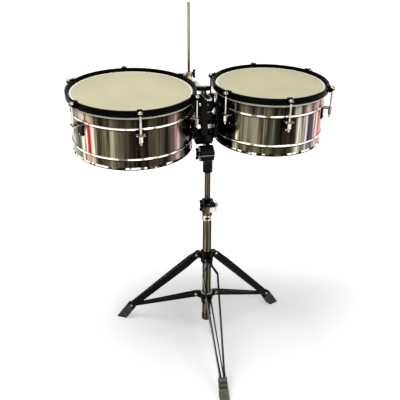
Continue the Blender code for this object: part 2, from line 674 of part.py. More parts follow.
def wing_part(name, parent, stud_r, stud, span, location, rotation, head_r=0.0, head_h=0.0):
    """A wing with its stud in its own frame: z = 0 is the bearing face, the ears point along +Z."""
    frame = frame_empty(name + "_axis", parent, location, rotation)
    profile = [(0.0, WING_HUB_H), (WING_HUB_R * 0.8, WING_HUB_H), (WING_HUB_R, 0.0), (stud_r, 0.0),
               (stud_r, -stud)]
    if head_r:
        profile += [(head_r, -stud), (head_r, -stud - head_h)]
    profile.append((0.0, profile[-1][1]))
    part = add_part(name, turned_mesh("hub", profile, SMALL_ROUND), BLACK, frame)
    join(part, add_tool(name + "_blade", wing_mesh(span), frame))


# ---------------------------------------------------------------- column
def tube_mesh(radius, low, high, inner=None):
    bore = radius - TUBE_WALL if inner is None else inner
    return turned_mesh("tube", [(bore, high), (radius, high), (radius, low), (bore, low)], ROUND, loop=True)


def column():
    """Base tube with its end cap, and the windowed collar near its top."""
    low, high = BASE_TUBE_Z
    tube = add_part("base_tube", tube_mesh(BASE_TUBE_R, low, high), CHROME, STAND_FRAME)
    middle = sum(WINDOW_COLLAR_Z) / 2
    half_w = WINDOW_W / 2 + GAP
    half_h = WINDOW_H / 2 + GAP
    window = block_mesh("window", (-half_w, -WINDOW_COLLAR_R - OVER, middle - half_h),
                        (half_w, -HEIGHT_TUBE_R - SINK / 2, middle + half_h))
    turn = (0, 0, WINDOW_TURN)
    cut(tube, add_tool("base_tube_window", window, STAND_FRAME, rotation=turn))
    collar = add_part("window_collar", tube_mesh(WINDOW_COLLAR_R, *WINDOW_COLLAR_Z, BASE_TUBE_R + GAP),
                      CHROME, STAND_FRAME)
    cut(collar, add_tool("collar_window", window.copy(), STAND_FRAME, rotation=turn))
    cap_r = BASE_TUBE_R + PLUG_WALL
    wall = BASE_TUBE_R - TUBE_WALL / 2
    profile = [(0.0, low + PLUG_FLOOR), (wall, low + PLUG_FLOOR), (wall, low + PLUG_HEIGHT),
               (cap_r, low + PLUG_HEIGHT), (cap_r, low - PLUG_FLOOR), (0.0, low - PLUG_FLOOR)]
    join(tube, add_tool("tube_end_cap", turned_mesh("cap", profile, ROUND), STAND_FRAME))


def height_clamp():
    """Chrome socket on the base tube, black split jaw on the height tube, and its bolt."""
    low, high = CLAMP_BASE_Z
    base = add_part("clamp_base", rod_mesh("socket", CLAMP_BASE_R, low, high, sides=ROUND), CHROME,
                    STAND_FRAME)
    ear = block_mesh("ear", (CLAMP_EAR_X[0], CLAMP_EAR_Y[0], high - INSET - CLAMP_EAR_H),
                     (CLAMP_EAR_X[1], CLAMP_EAR_Y[1], high - INSET), CHAMFER)
    join(base, add_tool("clamp_base_ear", ear, STAND_FRAME))
    bore = rod_mesh("bore", BASE_TUBE_R + GAP, low - OVER, high + OVER, sides=ROUND)
    cut(base, add_tool("clamp_base_bore", bore, STAND_FRAME))
    low, high = JAW_Z
    jaw = add_part("clamp_jaw", tube_mesh(JAW_R, low, high, HEIGHT_TUBE_R + GAP), BLACK, STAND_FRAME)
    ears = block_mesh("ears", (-JAW_EAR_X, JAW_EAR_Y, low + INSET),
                      (JAW_EAR_X, -HEIGHT_TUBE_R - SINK, high - INSET), CHAMFER)
    join(jaw, add_tool("clamp_jaw_ears", ears, STAND_FRAME))
    slot = block_mesh("slot", (-JAW_SLOT / 2, JAW_EAR_Y - OVER, low - OVER), (JAW_SLOT / 2, 0.0, high + OVER))
    cut(jaw, add_tool("clamp_jaw_slot", slot, STAND_FRAME))
    middle = (low + high) / 2
    hole = rod_mesh("hole", CLAMP_BOLT_R + GAP, -JAW_EAR_X - OVER, JAW_EAR_X + OVER, "X",
                    (CLAMP_BOLT_Y, middle))
    cut(jaw, add_tool("clamp_jaw_hole", hole, STAND_FRAME))
    wing_part("clamp_wing_bolt", STAND_FRAME, CLAMP_BOLT_R, 2 * (JAW_EAR_X + GAP), LARGE_WING,
              (-JAW_EAR_X - GAP, CLAMP_BOLT_Y, middle), (0, -math.pi / 2, 0),
              CLAMP_BOLT_HEAD_R, CLAMP_BOLT_HEAD_H)


def height_tube():
    top = SLEEVE_Z[0] + TUBE_IN_SLEEVE
    mesh = tube_mesh(HEIGHT_TUBE_R, HEIGHT_TUBE_LOW_Z - top, 0.0)
    frame = frame_empty("height_axis", STAND_FRAME, (0, 0, top))
    add_part("height_tube", mesh, CHROME, frame)


# ---------------------------------------------------------------- tripod
def leg_frame(name, angle, radius, height, slope, parent):
    """Empty on a pivot: X runs down the bar, Y is its outer side, Z lies across the leg."""
    spot = (radius * math.cos(angle), radius * math.sin(angle), height)
    return frame_empty(name, parent, spot, (math.pi / 2, slope, angle))


def bent_bar(name, outlines, thickness, bends, side):
    """A flat bar bent sideways through the given (s, v) points."""
    bm = bmesh.new()
    bm.from_mesh(flat_mesh(name, outlines, thickness))
    for s, _ in bends[1:-1]:
        bmesh.ops.bisect_plane(bm, geom=bm.verts[:] + bm.edges[:] + bm.faces[:], plane_co=(s, 0, 0),
                               plane_no=(1, 0, 0), dist=0.000001)
    bmesh.ops.triangulate(bm, faces=bm.faces[:])
    for vert in bm.verts:
        vert.co.z += side * bend_at(vert.co.x, bends)
    return mesh_from(bm, name)


def bend_at(s, bends):
    points = [bends[0]] + list(bends) + [bends[-1]]
    for (s0, v0), (s1, v1) in zip(points, points[1:]):
        if s <= s1 and s1 > s0:
            share = max(0.0, min(1.0, (s - s0) / (s1 - s0)))
            return v0 + (v1 - v0) * share
    return bends[-1][1]


def pin_mesh(half):
    """A riveted pin along Z through its whole width, with a head at each end."""
    top = half + PIN_HEAD_H
    upper = [(0.0, top), (PIN_HEAD_R * 0.6, top), (PIN_HEAD_R, half), (PIN_R, half - GAP)]
    lower = [(radius, -z) for radius, z in reversed(upper)]
    return turned_mesh("pin", upper + lower, SMALL_ROUND)


def leg(name, angle):
    """Two bent strips, the pin that turns in the hub, and the rivet heads at the foot."""
    frame = leg_frame(name + "_leg_axis", angle, HUB_PIVOT_R, HUB_PIVOT_Z, LEG_SLOPE, STAND_FRAME)
    bends = [(-LEG_HALF_W, LEG_HUB_V), (LEG_KINK_S[0], LEG_HUB_V), (LEG_KINK_S[1], LEG_WIDE_V),
             (LEG_LENGTH - LEG_HALF_W, LEG_FOOT_V), (LEG_LENGTH + LEG_HALF_W, LEG_FOOT_V)]
    outline = [bar_outline(LEG_LENGTH, LEG_HALF_W, LEG_HALF_W)]
    part = add_part(name + "_leg", bent_bar("strip", outline, LEG_T, bends, 1), BLACK, frame)
    join(part, add_tool(name + "_leg_pin", pin_mesh(LEG_HUB_V + LEG_T / 2 - GAP), frame))
    join(part, add_tool(name + "_leg_strip", bent_bar("strip", outline, LEG_T, bends, -1), frame))
    face = LEG_FOOT_V + LEG_T / 2 - GAP
    profile = [(0.0, PIN_HEAD_H), (PIN_HEAD_R * 0.6, PIN_HEAD_H), (PIN_HEAD_R, 0.0),
               (PIN_HEAD_R, -GAP), (0.0, -GAP)]
    for side, turn in (("a", 0.0), ("b", math.pi)):
        spot = (LEG_LENGTH, 0, face * math.cos(turn))
        join(part, add_tool("%s_foot_rivet_%s" % (name, side), turned_mesh("rivet", profile, SMALL_ROUND),
                            frame, spot, (turn, 0, 0)))
    boot(name, frame)


def boot(name, frame):
    """Rubber boot: a flaring block, open at its mouth, cut flat on the floor."""
    down = HUB_PIVOT_Z / math.sin(LEG_SLOPE)
    sole_s = (SOLE_R - HUB_PIVOT_R) * math.cos(LEG_SLOPE) + HUB_PIVOT_Z * math.sin(LEG_SLOPE)
    sole_w = (SOLE_R - HUB_PIVOT_R) * math.sin(LEG_SLOPE) - HUB_PIVOT_Z * math.cos(LEG_SLOPE)
    mouth = LEG_LENGTH + BOOT_START
    bm = bmesh.new()
    bmesh.ops.create_cube(bm, size=1.0)
    reach = (sole_s - mouth) * 1.5
    for vert in bm.verts:
        low = vert.co.x > 0
        width = BOOT_SOLE_W if low else BOOT_TOP_W
        cross = BOOT_SOLE_V if low else BOOT_TOP_V
        vert.co.y = vert.co.y * width + (sole_w * 1.5 if low else 0.0)
        vert.co.z *= cross
        vert.co.x = mouth + (reach if low else 0.0)
    long_edges = [e for e in bm.edges if abs(e.verts[0].co.x - e.verts[1].co.x) > reach / 2]
    bmesh.ops.bevel(bm, geom=long_edges, offset=BOOT_EDGE, segments=2, affect="EDGES", profile=0.5)
    up = Vector((-math.sin(LEG_SLOPE), math.cos(LEG_SLOPE), 0))
    bmesh.ops.bisect_plane(bm, geom=bm.verts[:] + bm.edges[:] + bm.faces[:], plane_co=(down, 0, 0),
                           plane_no=up, clear_inner=True)
    rim = [e for e in bm.edges if e.is_boundary]
    bmesh.ops.edgeloop_fill(bm, edges=rim)
    part = add_part(name + "_boot", mesh_from(bm, "boot"), RUBBER, frame)
    pocket_v = LEG_FOOT_V + LEG_T / 2 + GAP
    pocket_w = BOOT_TOP_W / 2 - BOOT_WALL_W
    pocket = block_mesh("pocket", (mouth - OVER, -pocket_w, -pocket_v),
                        (LEG_LENGTH + BOOT_POCKET_S, pocket_w, pocket_v))
    cut(part, add_tool(name + "_boot_pocket", pocket, frame))
    head = rod_mesh("head", PIN_HEAD_R + GAP, -BOOT_TOP_V, BOOT_TOP_V, centre=(LEG_LENGTH, 0))
    cut(part, add_tool(name + "_boot_notch", head, frame))


def tongue_mesh(pivot_r, height):
    """One lug of a hub, in (radius, height), with its pin hole."""
    root = BASE_TUBE_R + GAP + SINK
    half = TONGUE_END_R
    nose = arc((pivot_r, height), half, -math.pi / 2, math.pi / 2, ARC_STEPS)
    outline = [(root, height - half * 1.3)] + nose + [(root, height + half * 1.3)]
    body = flat_mesh("tongue", [outline, circle((pivot_r, height), PIN_R + GAP)], 2 * TONGUE_HALF_V)
    body.transform(Matrix.Rotation(math.pi / 2, 4, "X"))
    return body


def leg_hub():
    low, high = HUB_PIVOT_Z - HUB_HALF_H, HUB_PIVOT_Z + HUB_HALF_H
    hub = add_part("leg_hub", tube_mesh(HUB_R, low, high, BASE_TUBE_R + GAP), BLACK, STAND_FRAME)
    tongue = tongue_mesh(HUB_PIVOT_R, HUB_PIVOT_Z)
    for name, angle in LEG_ANGLES.items():
        join(hub, add_tool("hub_tongue_" + name, tongue, STAND_FRAME, rotation=(0, 0, angle)))


def brace_collar():
    frame = frame_empty("collar_axis", STAND_FRAME, (0, 0, COLLAR_PIVOT_Z))
    bore = BASE_TUBE_R + GAP
    profile = [(bore, COLLAR_TOP), (HUB_R - SINK / 2, COLLAR_TOP), (HUB_R + SINK / 2, -2 * SINK),
               (COLLAR_LOW_R, -COLLAR_BOTTOM), (bore, -COLLAR_BOTTOM)]
    collar = add_part("brace_collar", turned_mesh("collar", profile, ROUND, loop=True), BLACK, frame)
    tongue = tongue_mesh(COLLAR_PIVOT_R, 0.0)
    for name, angle in LEG_ANGLES.items():
        join(collar, add_tool("collar_tongue_" + name, tongue, frame, rotation=(0, 0, angle)))
    turn = (0, math.pi / 2, COLLAR_SCREW_ANGLE)
    boss = rod_mesh("boss", COLLAR_BOSS_R, BASE_TUBE_R + SINK, COLLAR_BOSS_REACH)
    join(collar, add_tool("collar_boss", boss, frame, rotation=turn))
    hole = rod_mesh("hole", COLLAR_SCREW_R + GAP, BASE_TUBE_R - SINK, COLLAR_BOSS_REACH + OVER)
    cut(collar, add_tool("collar_screw_hole", hole, frame, rotation=turn))
    spot = ((COLLAR_BOSS_REACH + GAP) * math.cos(COLLAR_SCREW_ANGLE),
            (COLLAR_BOSS_REACH + GAP) * math.sin(COLLAR_SCREW_ANGLE), 0)
    wing_part("collar_wing_screw", frame, COLLAR_SCREW_R, COLLAR_BOSS_REACH - BASE_TUBE_R,
              SMALL_WING, spot, turn)
    return frame


def brace(name, angle, collar_frame):
    frame = leg_frame(name + "_brace_axis", angle, COLLAR_PIVOT_R, 0.0, BRACE_SLOPE, collar_frame)
    bends = [(-BRACE_HALF_W, BRACE_HUB_V), (BRACE_BEND_S, BRACE_HUB_V),
             (BRACE_LENGTH - BRACE_BEND_S, BRACE_FOOT_V),
             (BRACE_LENGTH + BRACE_HALF_W, BRACE_FOOT_V)]
    outline = [bar_outline(BRACE_LENGTH, BRACE_HALF_W, BRACE_TIP_HALF_W),
               circle((BRACE_LENGTH, 0), PIN_R + GAP, 8)]
    part = add_part(name + "_brace", bent_bar("strip", outline, BRACE_T, bends, 1), BLACK, frame)
    join(part, add_tool(name + "_brace_pin", pin_mesh(BRACE_HUB_V + BRACE_T / 2 - GAP), frame))
    join(part, add_tool(name + "_brace_strip", bent_bar("strip", outline, BRACE_T, bends, -1), frame))


# ---------------------------------------------------------------- cowbell holder
def handle():
    """Oval-headed screw that clamps the slotted arm to the top of the post."""
    frame = frame_empty("handle_axis", BRACKET_FRAME, (0, PIVOT_Y, 0))
    low, high = (z - TILTER_Z for z in HANDLE_Z)
    seat = ARM_TOP_Z + GAP - TILTER_Z
    foot = POST_TOP_Z - SCREW_STEM_DEPTH - TILTER_Z
    profile = [(0.0, low + SINK), (STEM_COLLAR_R, low + SINK), (STEM_COLLAR_R, seat),
               (SCREW_STEM_R, seat), (SCREW_STEM_R, foot), (0.0, foot)]
    part = add_part("t_handle_screw", turned_mesh("stem", profile, SMALL_ROUND), BLACK, frame)
    oval = [(x * HANDLE_LENGTH / 2, y * HANDLE_W / 2) for x, y in circle((0, 0), 1.0, 16)]
    grip = flat_mesh("grip", [oval], high - low)
    join(part, add_tool("handle_grip", grip, frame, (0, 0, (low + high) / 2)))


def cowbell_arm():
    """Level slotted arm that carries the clamp of the cowbell post at its far end."""
    frame = frame_empty("arm_axis", BRACKET_FRAME)
    low = ARM_TOP_Z - ARM_T - TILTER_Z
    high = ARM_TOP_Z - TILTER_Z
    plate = block_mesh("arm", (-ARM_HALF_W, ARM_Y[0], low), (ARM_HALF_W, ARM_Y[1], high))
    arm = add_part("cowbell_arm", plate, CHROME, frame)
    slot = block_mesh("slot", (-SLOT_HALF_W, SLOT_Y[0], low - OVER), (SLOT_HALF_W, SLOT_Y[1], high + OVER))
    cut(arm, add_tool("arm_slot", slot, frame))
    bell_clamp(arm, frame, low, high)


def bell_clamp(arm, frame, low, high):
    """Clamp block on the arm's end, the post that it holds and its wing screw."""
    half = BELL_CLAMP_W / 2
    top = high + BELL_CLAMP_H
    block = block_mesh("block", (BELL_POST_X - half, BELL_POST_Y - half, low - SINK),
                       (BELL_POST_X + half, BELL_POST_Y + half - INSET, top), CHAMFER)
    join(arm, add_tool("bell_clamp_block", block, frame))
    hole = rod_mesh("hole", BELL_POST_R + GAP, low - OVER, top + OVER, centre=(BELL_POST_X, BELL_POST_Y))
    cut(arm, add_tool("clamp_post_hole", hole, frame))
    screw_z = high + BELL_SCREW_RISE
    face = BELL_POST_X + half
    screw = rod_mesh("hole", BELL_SCREW_R + GAP, BELL_POST_X, face + OVER, "X", (BELL_POST_Y, screw_z))
    cut(arm, add_tool("clamp_screw_hole", screw, frame))
    wing_part("cowbell_wing_screw", frame, BELL_SCREW_R, half - BELL_POST_R, SMALL_WING,
              (face + GAP, BELL_POST_Y, screw_z), (0, math.pi / 2, 0))
    post_frame = frame_empty("cowbell_post_axis", frame, (BELL_POST_X, BELL_POST_Y, high))
    low, high = BELL_POST_RISE
    add_part("cowbell_post", rod_mesh("post", BELL_POST_R, low, high), CHROME, post_frame)


# ---------------------------------------------------------------- assembly
clear_scene()
PARTS = new_collection("Timbales", hidden=False)
TOOLS = new_collection("Cutters", hidden=True)

CHROME = new_material("chrome", (0.62, 0.61, 0.58), 0.12, 1.0)
BLACK = new_material("black_enamel", (0.012, 0.012, 0.013), 0.35, 0.0)
RUBBER = new_material("boot_rubber", (0.12, 0.11, 0.08), 0.75, 0.0)
CREAM = new_material("cream_plastic", (0.80, 0.77, 0.66), 0.45, 0.0)
PLASTIC_FILM = new_material("coated_film", (0.62, 0.58, 0.41), 0.55, 0.0)

STAND_FRAME = frame_empty("stand_axis", None, (STAND_X, STAND_Y, 0))
SWIVEL_FRAME = frame_empty("swivel_axis", STAND_FRAME, (0, 0, SLEEVE_Z[0]))
BRACKET_FRAME = frame_empty("tilter_axis", SWIVEL_FRAME, (0, 0, TILTER_Z - SLEEVE_Z[0]))

column()
height_clamp()
height_tube()
leg_hub()
COLLAR_FRAME = brace_collar()
for leg_name, leg_angle in LEG_ANGLES.items():
    leg(leg_name, leg_angle)
    brace(leg_name, leg_angle, COLLAR_FRAME)
tilter_base()
tilter_head()
tilter_bolt()
centre_bracket()
drum("left", -1, LEFT_SHELL_R, LEFT_HOOP_R, LEFT_X, LEFT_TILT)
drum("right", 1, RIGHT_SHELL_R, RIGHT_HOOP_R, RIGHT_X, RIGHT_TILT)
handle()
cowbell_arm()
bpy.context.view_layer.update()
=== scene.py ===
# %% [markdown]
# # A pair of timbales on a folding tripod stand
#
# Two shallow metal drums hang on one stand: a wide one on the left and a slightly narrower one on the right.
# The frame below is the measured model of the whole instrument, with every moving piece on its own body.
# This lesson dresses that frame. Each piece is drawn again with rounder edges and a real finish, and is then
# told which body it rides on, so that it moves with the stand.

# %% Load the frame
import math

import bmesh
import bpy
from mathutils import Matrix, Quaternion, Vector


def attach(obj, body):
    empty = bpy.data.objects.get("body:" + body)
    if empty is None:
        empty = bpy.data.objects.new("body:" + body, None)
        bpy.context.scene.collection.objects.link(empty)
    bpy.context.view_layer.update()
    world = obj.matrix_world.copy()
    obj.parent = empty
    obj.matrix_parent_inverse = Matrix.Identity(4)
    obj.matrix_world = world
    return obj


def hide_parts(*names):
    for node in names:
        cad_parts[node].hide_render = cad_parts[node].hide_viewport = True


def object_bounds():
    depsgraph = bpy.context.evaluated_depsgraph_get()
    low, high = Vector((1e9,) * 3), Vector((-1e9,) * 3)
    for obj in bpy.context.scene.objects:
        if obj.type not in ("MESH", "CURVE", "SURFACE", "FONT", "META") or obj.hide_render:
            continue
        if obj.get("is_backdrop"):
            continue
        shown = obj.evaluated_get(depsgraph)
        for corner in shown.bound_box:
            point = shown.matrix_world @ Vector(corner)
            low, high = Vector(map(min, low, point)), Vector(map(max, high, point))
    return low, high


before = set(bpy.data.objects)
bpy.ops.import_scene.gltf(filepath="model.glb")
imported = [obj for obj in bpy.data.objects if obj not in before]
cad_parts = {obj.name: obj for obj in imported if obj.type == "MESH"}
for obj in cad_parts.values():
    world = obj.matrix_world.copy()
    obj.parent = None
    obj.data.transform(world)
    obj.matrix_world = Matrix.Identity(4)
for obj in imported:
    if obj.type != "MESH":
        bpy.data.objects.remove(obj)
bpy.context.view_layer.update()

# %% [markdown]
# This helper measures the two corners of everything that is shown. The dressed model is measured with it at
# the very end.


def measured_box():
    return [[round(value, 5) for value in corner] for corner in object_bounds()]


# %% [markdown]
# ## Sizes
#
# The drums are 14 and 13 inch shells, 6 1/2 inches deep. All heights of drum pieces are taken from the pivot
# that the drum swings on, because the drum's own frame sits there and leans towards the player.

# %% Drum sizes in metres
SHELL_R = {"left": 0.1765, "right": 0.1638}
HOOP_R = {"left": 0.1888, "right": 0.1761}
DRUM_X = {"left": -0.2158, "right": 0.2031}
LEAN = {"left": math.radians(4.7), "right": math.radians(3.5)}
RIM_Z = 0.1355                 # top of the counterhoop
EDGE_Z = 0.1254                # the shell's bearing edge
HEAD_Z = EDGE_Z + 0.0009       # top of the head's film
SHELL_DEPTH = 0.1685
SHELL_WALL = 0.0015
SHELL_FOOT_Z = EDGE_Z - SHELL_DEPTH
BEAD_Z = (EDGE_Z - 0.0465, EDGE_Z - 0.1355)
LUG_TOP_Z = EDGE_Z - 0.0535
LUG_TURNS = [math.radians(-90 + 60 * i) for i in range(6)]
STAND = Vector((0.0127, 0.0388, 0.0))
PIVOT = STAND + Vector((0.0, 0.0600, 0.7285))
STAND_AT, PIVOT_AT = Matrix.Translation(STAND), Matrix.Translation(PIVOT)
FACE_FRONT = Matrix.Rotation(math.pi / 2, 4, "X")      # stands a flat plate up, towards the player
TO_RIGHT = Matrix.Rotation(math.pi / 2, 4, "Y")        # turns a lathe's axis to +X
TO_LEFT = Matrix.Rotation(-math.pi / 2, 4, "Y")
print("the two rims are", round(2000 * HOOP_R["left"]), "and", round(2000 * HOOP_R["right"]), "mm across")

# %% [markdown]
# ## The camera
#
# The picture was taken from a little above the drums and to the left of the stand, with a short telephoto
# lens. A direction vector and a small roll are enough to aim the camera, so no target object is needed.

# %% Camera
YAW, PITCH, ROLL = (math.radians(a) for a in (12.4459, 24.7376, 0.2167))
LENS_MM = 55.544
CAMERA_SPOT = (-0.3848, -1.6566, 1.3118)


def aim_camera():
    lens = bpy.data.cameras.new("picture_lens")
    lens.sensor_width = 36.0
    lens.lens = LENS_MM
    lens.clip_end = 60.0
    camera = bpy.data.objects.new("picture_camera", lens)
    bpy.context.scene.collection.objects.link(camera)
    ahead = Vector((math.sin(YAW) * math.cos(PITCH), math.cos(YAW) * math.cos(PITCH), -math.sin(PITCH)))
    camera.rotation_mode = "QUATERNION"
    camera.rotation_quaternion = ahead.to_track_quat("-Z", "Y") @ Quaternion((0, 0, 1), ROLL)
    camera.location = CAMERA_SPOT
    bpy.context.scene.camera = camera
    return camera


print("camera stands", round(aim_camera().location.length, 2), "m from the stand's foot")

# %% [markdown]
# ## Building finishes from nodes
#
# A finish is a Principled shader whose colour, roughness and bump come from other nodes. Small helpers keep
# those node trees readable. They add a node and wire its inputs, do a sum, turn a number into colour with a
# ramp, mix two colours, make a noise and stretch a range. Colours are written as a picture shows them, from 0
# to 255. The frame's materials have slots.

# %% Node helpers
def ink(*rgb):
    """A colour of 0 to 255 in a picture, as the linear values that a shader takes."""
    shares = [c / 255 for c in rgb]
    return tuple(c / 12.92 if c <= 0.04045 else ((c + 0.055) / 1.055) ** 2.4 for c in shares) + (1.0,)


def wire(tree, kind, inputs=None, **settings):
    """Add a node. An input is either a fixed value or the socket that feeds it."""
    made = tree.nodes.new("ShaderNode" + kind)
    for key, value in settings.items():
        setattr(made, key, value)
    for key, value in (inputs or {}).items():
        if isinstance(value, bpy.types.NodeSocket):
            tree.links.new(value, made.inputs[key])
        else:
            made.inputs[key].default_value = value
    return made


def sum_of(tree, how, first, second):
    return wire(tree, "Math", {0: first, 1: second}, operation=how).outputs[0]


def ramp(tree, factor, stops):
    made = wire(tree, "ValToRGB", {"Fac": factor})
    marks = made.color_ramp.elements
    while len(marks) < len(stops):
        marks.new(0.5)
    for mark, (place, colour) in zip(marks, sorted(stops)):
        mark.position = place
        mark.color = colour
    return made.outputs["Color"]


def blended(tree, how, share, first, second):
    return wire(tree, "Mix", {0: share, 6: first, 7: second}, data_type="RGBA", blend_type=how).outputs[2]


def grain(tree, spots, scale, detail=3.0, stretch=(1.0, 1.0, 1.0)):
    turned_spots = wire(tree, "Mapping", {"Vector": spots, "Scale": stretch}).outputs["Vector"]
    return wire(tree, "TexNoise", {"Vector": turned_spots, "Scale": scale, "Detail": detail}).outputs["Fac"]


def spread(tree, value, low, high, to_low, to_high):
    return wire(tree, "MapRange", {"Value": value, "From Min": low, "From Max": high, "To Min": to_low,
                                   "To Max": to_high}).outputs["Result"]


print("node helpers ready")


def new_finish(name, slot, **sockets):
    """An empty finish, its tree and shader, and the object's own coordinates. Fixed values set the shader."""
    finish = bpy.data.materials.new(name)
    finish.use_nodes = True
    shader = finish.node_tree.nodes["Principled BSDF"]
    for key, value in sockets.items():
        shader.inputs[key.replace("_", " ")].default_value = value
    return finish, finish.node_tree, shader, wire(finish.node_tree, "TexCoord").outputs["Object"]


def complete(tree, shader, place, colour, scale, low, high, bump=0.0):
    """The colour, an uneven polish, and with it a slight bump."""
    tree.links.new(colour, shader.inputs["Base Color"])
    speckle = grain(tree, place, scale, 4.0)
    tree.links.new(spread(tree, speckle, 0.3, 0.7, low, high), shader.inputs["Roughness"])
    if bump:
        raised = wire(tree, "Bump", {"Strength": bump, "Distance": 0.0002, "Height": speckle})
        tree.links.new(raised.outputs["Normal"], shader.inputs["Normal"])


def angle_share(tree, spot, noise, reach):
    """The angle round the object's own Z axis as a share from 0 to 1. The noise sways it within the reach."""
    sway = spread(tree, noise, 0.3, 0.7, -reach, reach)
    turn = sum_of(tree, "ADD", sum_of(tree, "ARCTAN2", spot.outputs["Y"], spot.outputs["X"]), sway)
    return spread(tree, turn, -math.pi, math.pi, 0.0, 1.0)


def bands(tree, share, stops, colour_of):
    """A ramp whose stops are written as degrees and a colour."""
    return ramp(tree, share, [(0.5 + degrees / 360, colour_of(rgb)) for degrees, *rgb in stops])


print("finish helpers ready")

# %% [markdown]
# ## Chrome shells
#
# A polished shell shows the room around it as upright bands: olive, brown and grey from the walls, white from
# the lamps, a little red from something bright, and a dark one beside the black bracket. A plain white room
# would leave it blank. The bands are therefore painted reflections in the metal's colour, placed by the angle
# round the drum. The strips above the upper bead and below the lower one have painted reflection bands of
# their own. Painted reflection streaking stretched along the height breaks them up, each bead gets a painted
# highlight over a painted shadow line, the hoop's painted shade darkens the top, and the rolled edge is
# dashed with painted glints over a painted shade line.

# %% Painted reflection bands of the shells, as degrees and a colour
MIDDLE_REFLECTION_BANDS = {
    "left": [(-180, 34, 31, 27), (-172, 64, 60, 52), (-166, 198, 192, 178), (-158, 116, 110, 98),
        (-152, 46, 42, 38), (-149, 222, 216, 200), (-141.6, 240, 237, 228), (-140.6, 196, 32, 44),
        (-137.0, 190, 38, 48), (-136.0, 240, 228, 214), (-131, 224, 206, 188), (-129.8, 40, 36, 30),
        (-128.6, 108, 106, 88), (-118, 128, 126, 104), (-115, 178, 176, 152), (-111, 112, 106, 90),
        (-103, 92, 84, 70), (-97, 60, 53, 44), (-90, 58, 50, 42), (-82, 84, 76, 64), (-74, 104, 98, 84),
        (-64, 60, 55, 47), (-56, 122, 104, 102), (-51, 206, 180, 182), (-46, 96, 78, 78), (-38, 40, 36, 34),
        (-20, 24, 22, 20), (20, 150, 144, 128), (60, 214, 208, 192), (105, 104, 98, 84),
        (150, 172, 166, 148), (180, 34, 31, 27)],
    "right": [(-180, 70, 66, 58), (-166, 26, 24, 21), (-150, 16, 14, 12), (-143.6, 84, 76, 62),
        (-142.2, 240, 233, 208), (-140.2, 240, 233, 208), (-139, 130, 124, 108), (-125, 150, 145, 128),
        (-111.5, 140, 134, 118), (-110, 60, 58, 50), (-107, 72, 72, 64), (-104.5, 112, 114, 102),
        (-101, 98, 99, 88), (-99.8, 46, 42, 36), (-92, 56, 49, 41), (-84, 78, 69, 57), (-78, 60, 51, 42),
        (-76.5, 228, 224, 212), (-73, 236, 233, 222), (-71, 132, 122, 109), (-66, 228, 223, 214),
        (-63.5, 78, 68, 84), (-55, 98, 88, 106), (-53.5, 234, 218, 218), (-47, 236, 198, 192),
        (-45, 214, 96, 88), (-35, 206, 104, 94), (-32, 122, 127, 108), (-22, 132, 135, 114),
        (30, 196, 190, 174), (100, 108, 102, 88), (180, 70, 66, 58)]}
OUTER_REFLECTION_BANDS = {
    "left": [(-180, 40, 36, 32), (-160, 150, 146, 130), (-148, 214, 204, 184), (-138, 204, 182, 164),
        (-130, 116, 106, 92), (-124, 48, 44, 38), (-116, 118, 112, 96), (-108, 70, 64, 54),
        (-98, 90, 82, 68), (-90, 30, 27, 23), (-80, 86, 80, 66), (-68, 42, 38, 32), (-60, 112, 94, 90),
        (-52, 190, 166, 160), (-45, 66, 56, 52), (-20, 26, 24, 22), (60, 190, 186, 170), (120, 90, 86, 74),
        (180, 40, 36, 32)],
    "right": [(-180, 60, 56, 50), (-162, 22, 20, 18), (-149, 50, 45, 38), (-144, 228, 220, 198),
        (-140, 116, 108, 90), (-131, 132, 124, 102), (-123, 46, 41, 34), (-117, 126, 120, 102),
        (-108, 112, 106, 87), (-102, 34, 31, 26), (-96, 98, 92, 75), (-90, 32, 29, 24), (-83, 104, 98, 80),
        (-76, 216, 210, 194), (-70, 80, 72, 64), (-64, 206, 192, 182), (-58, 86, 74, 86),
        (-50, 224, 194, 188), (-42, 206, 118, 106), (-33, 196, 124, 112), (-29, 120, 122, 104),
        (30, 190, 184, 168), (110, 104, 98, 84), (180, 60, 56, 50)]}
print("shell bands:", {side: len(stops) for side, stops in MIDDLE_REFLECTION_BANDS.items()})

# %% Shell chrome with painted reflections
HOOP_SHADE_Z = (0.098, 0.112)          # the hoop's shade on the shell deepens between these heights


def deeper(rgb):
    """The same colour with its middle tones taken down, and its white kept."""
    return ink(*(255 * (c / 255) ** 1.36 for c in rgb))


def near_height(tree, height, middle, half):
    """1 within half of one height, 0 elsewhere."""
    return wire(tree, "Math", {0: height, 1: middle, 2: half}, operation="COMPARE").outputs[0]


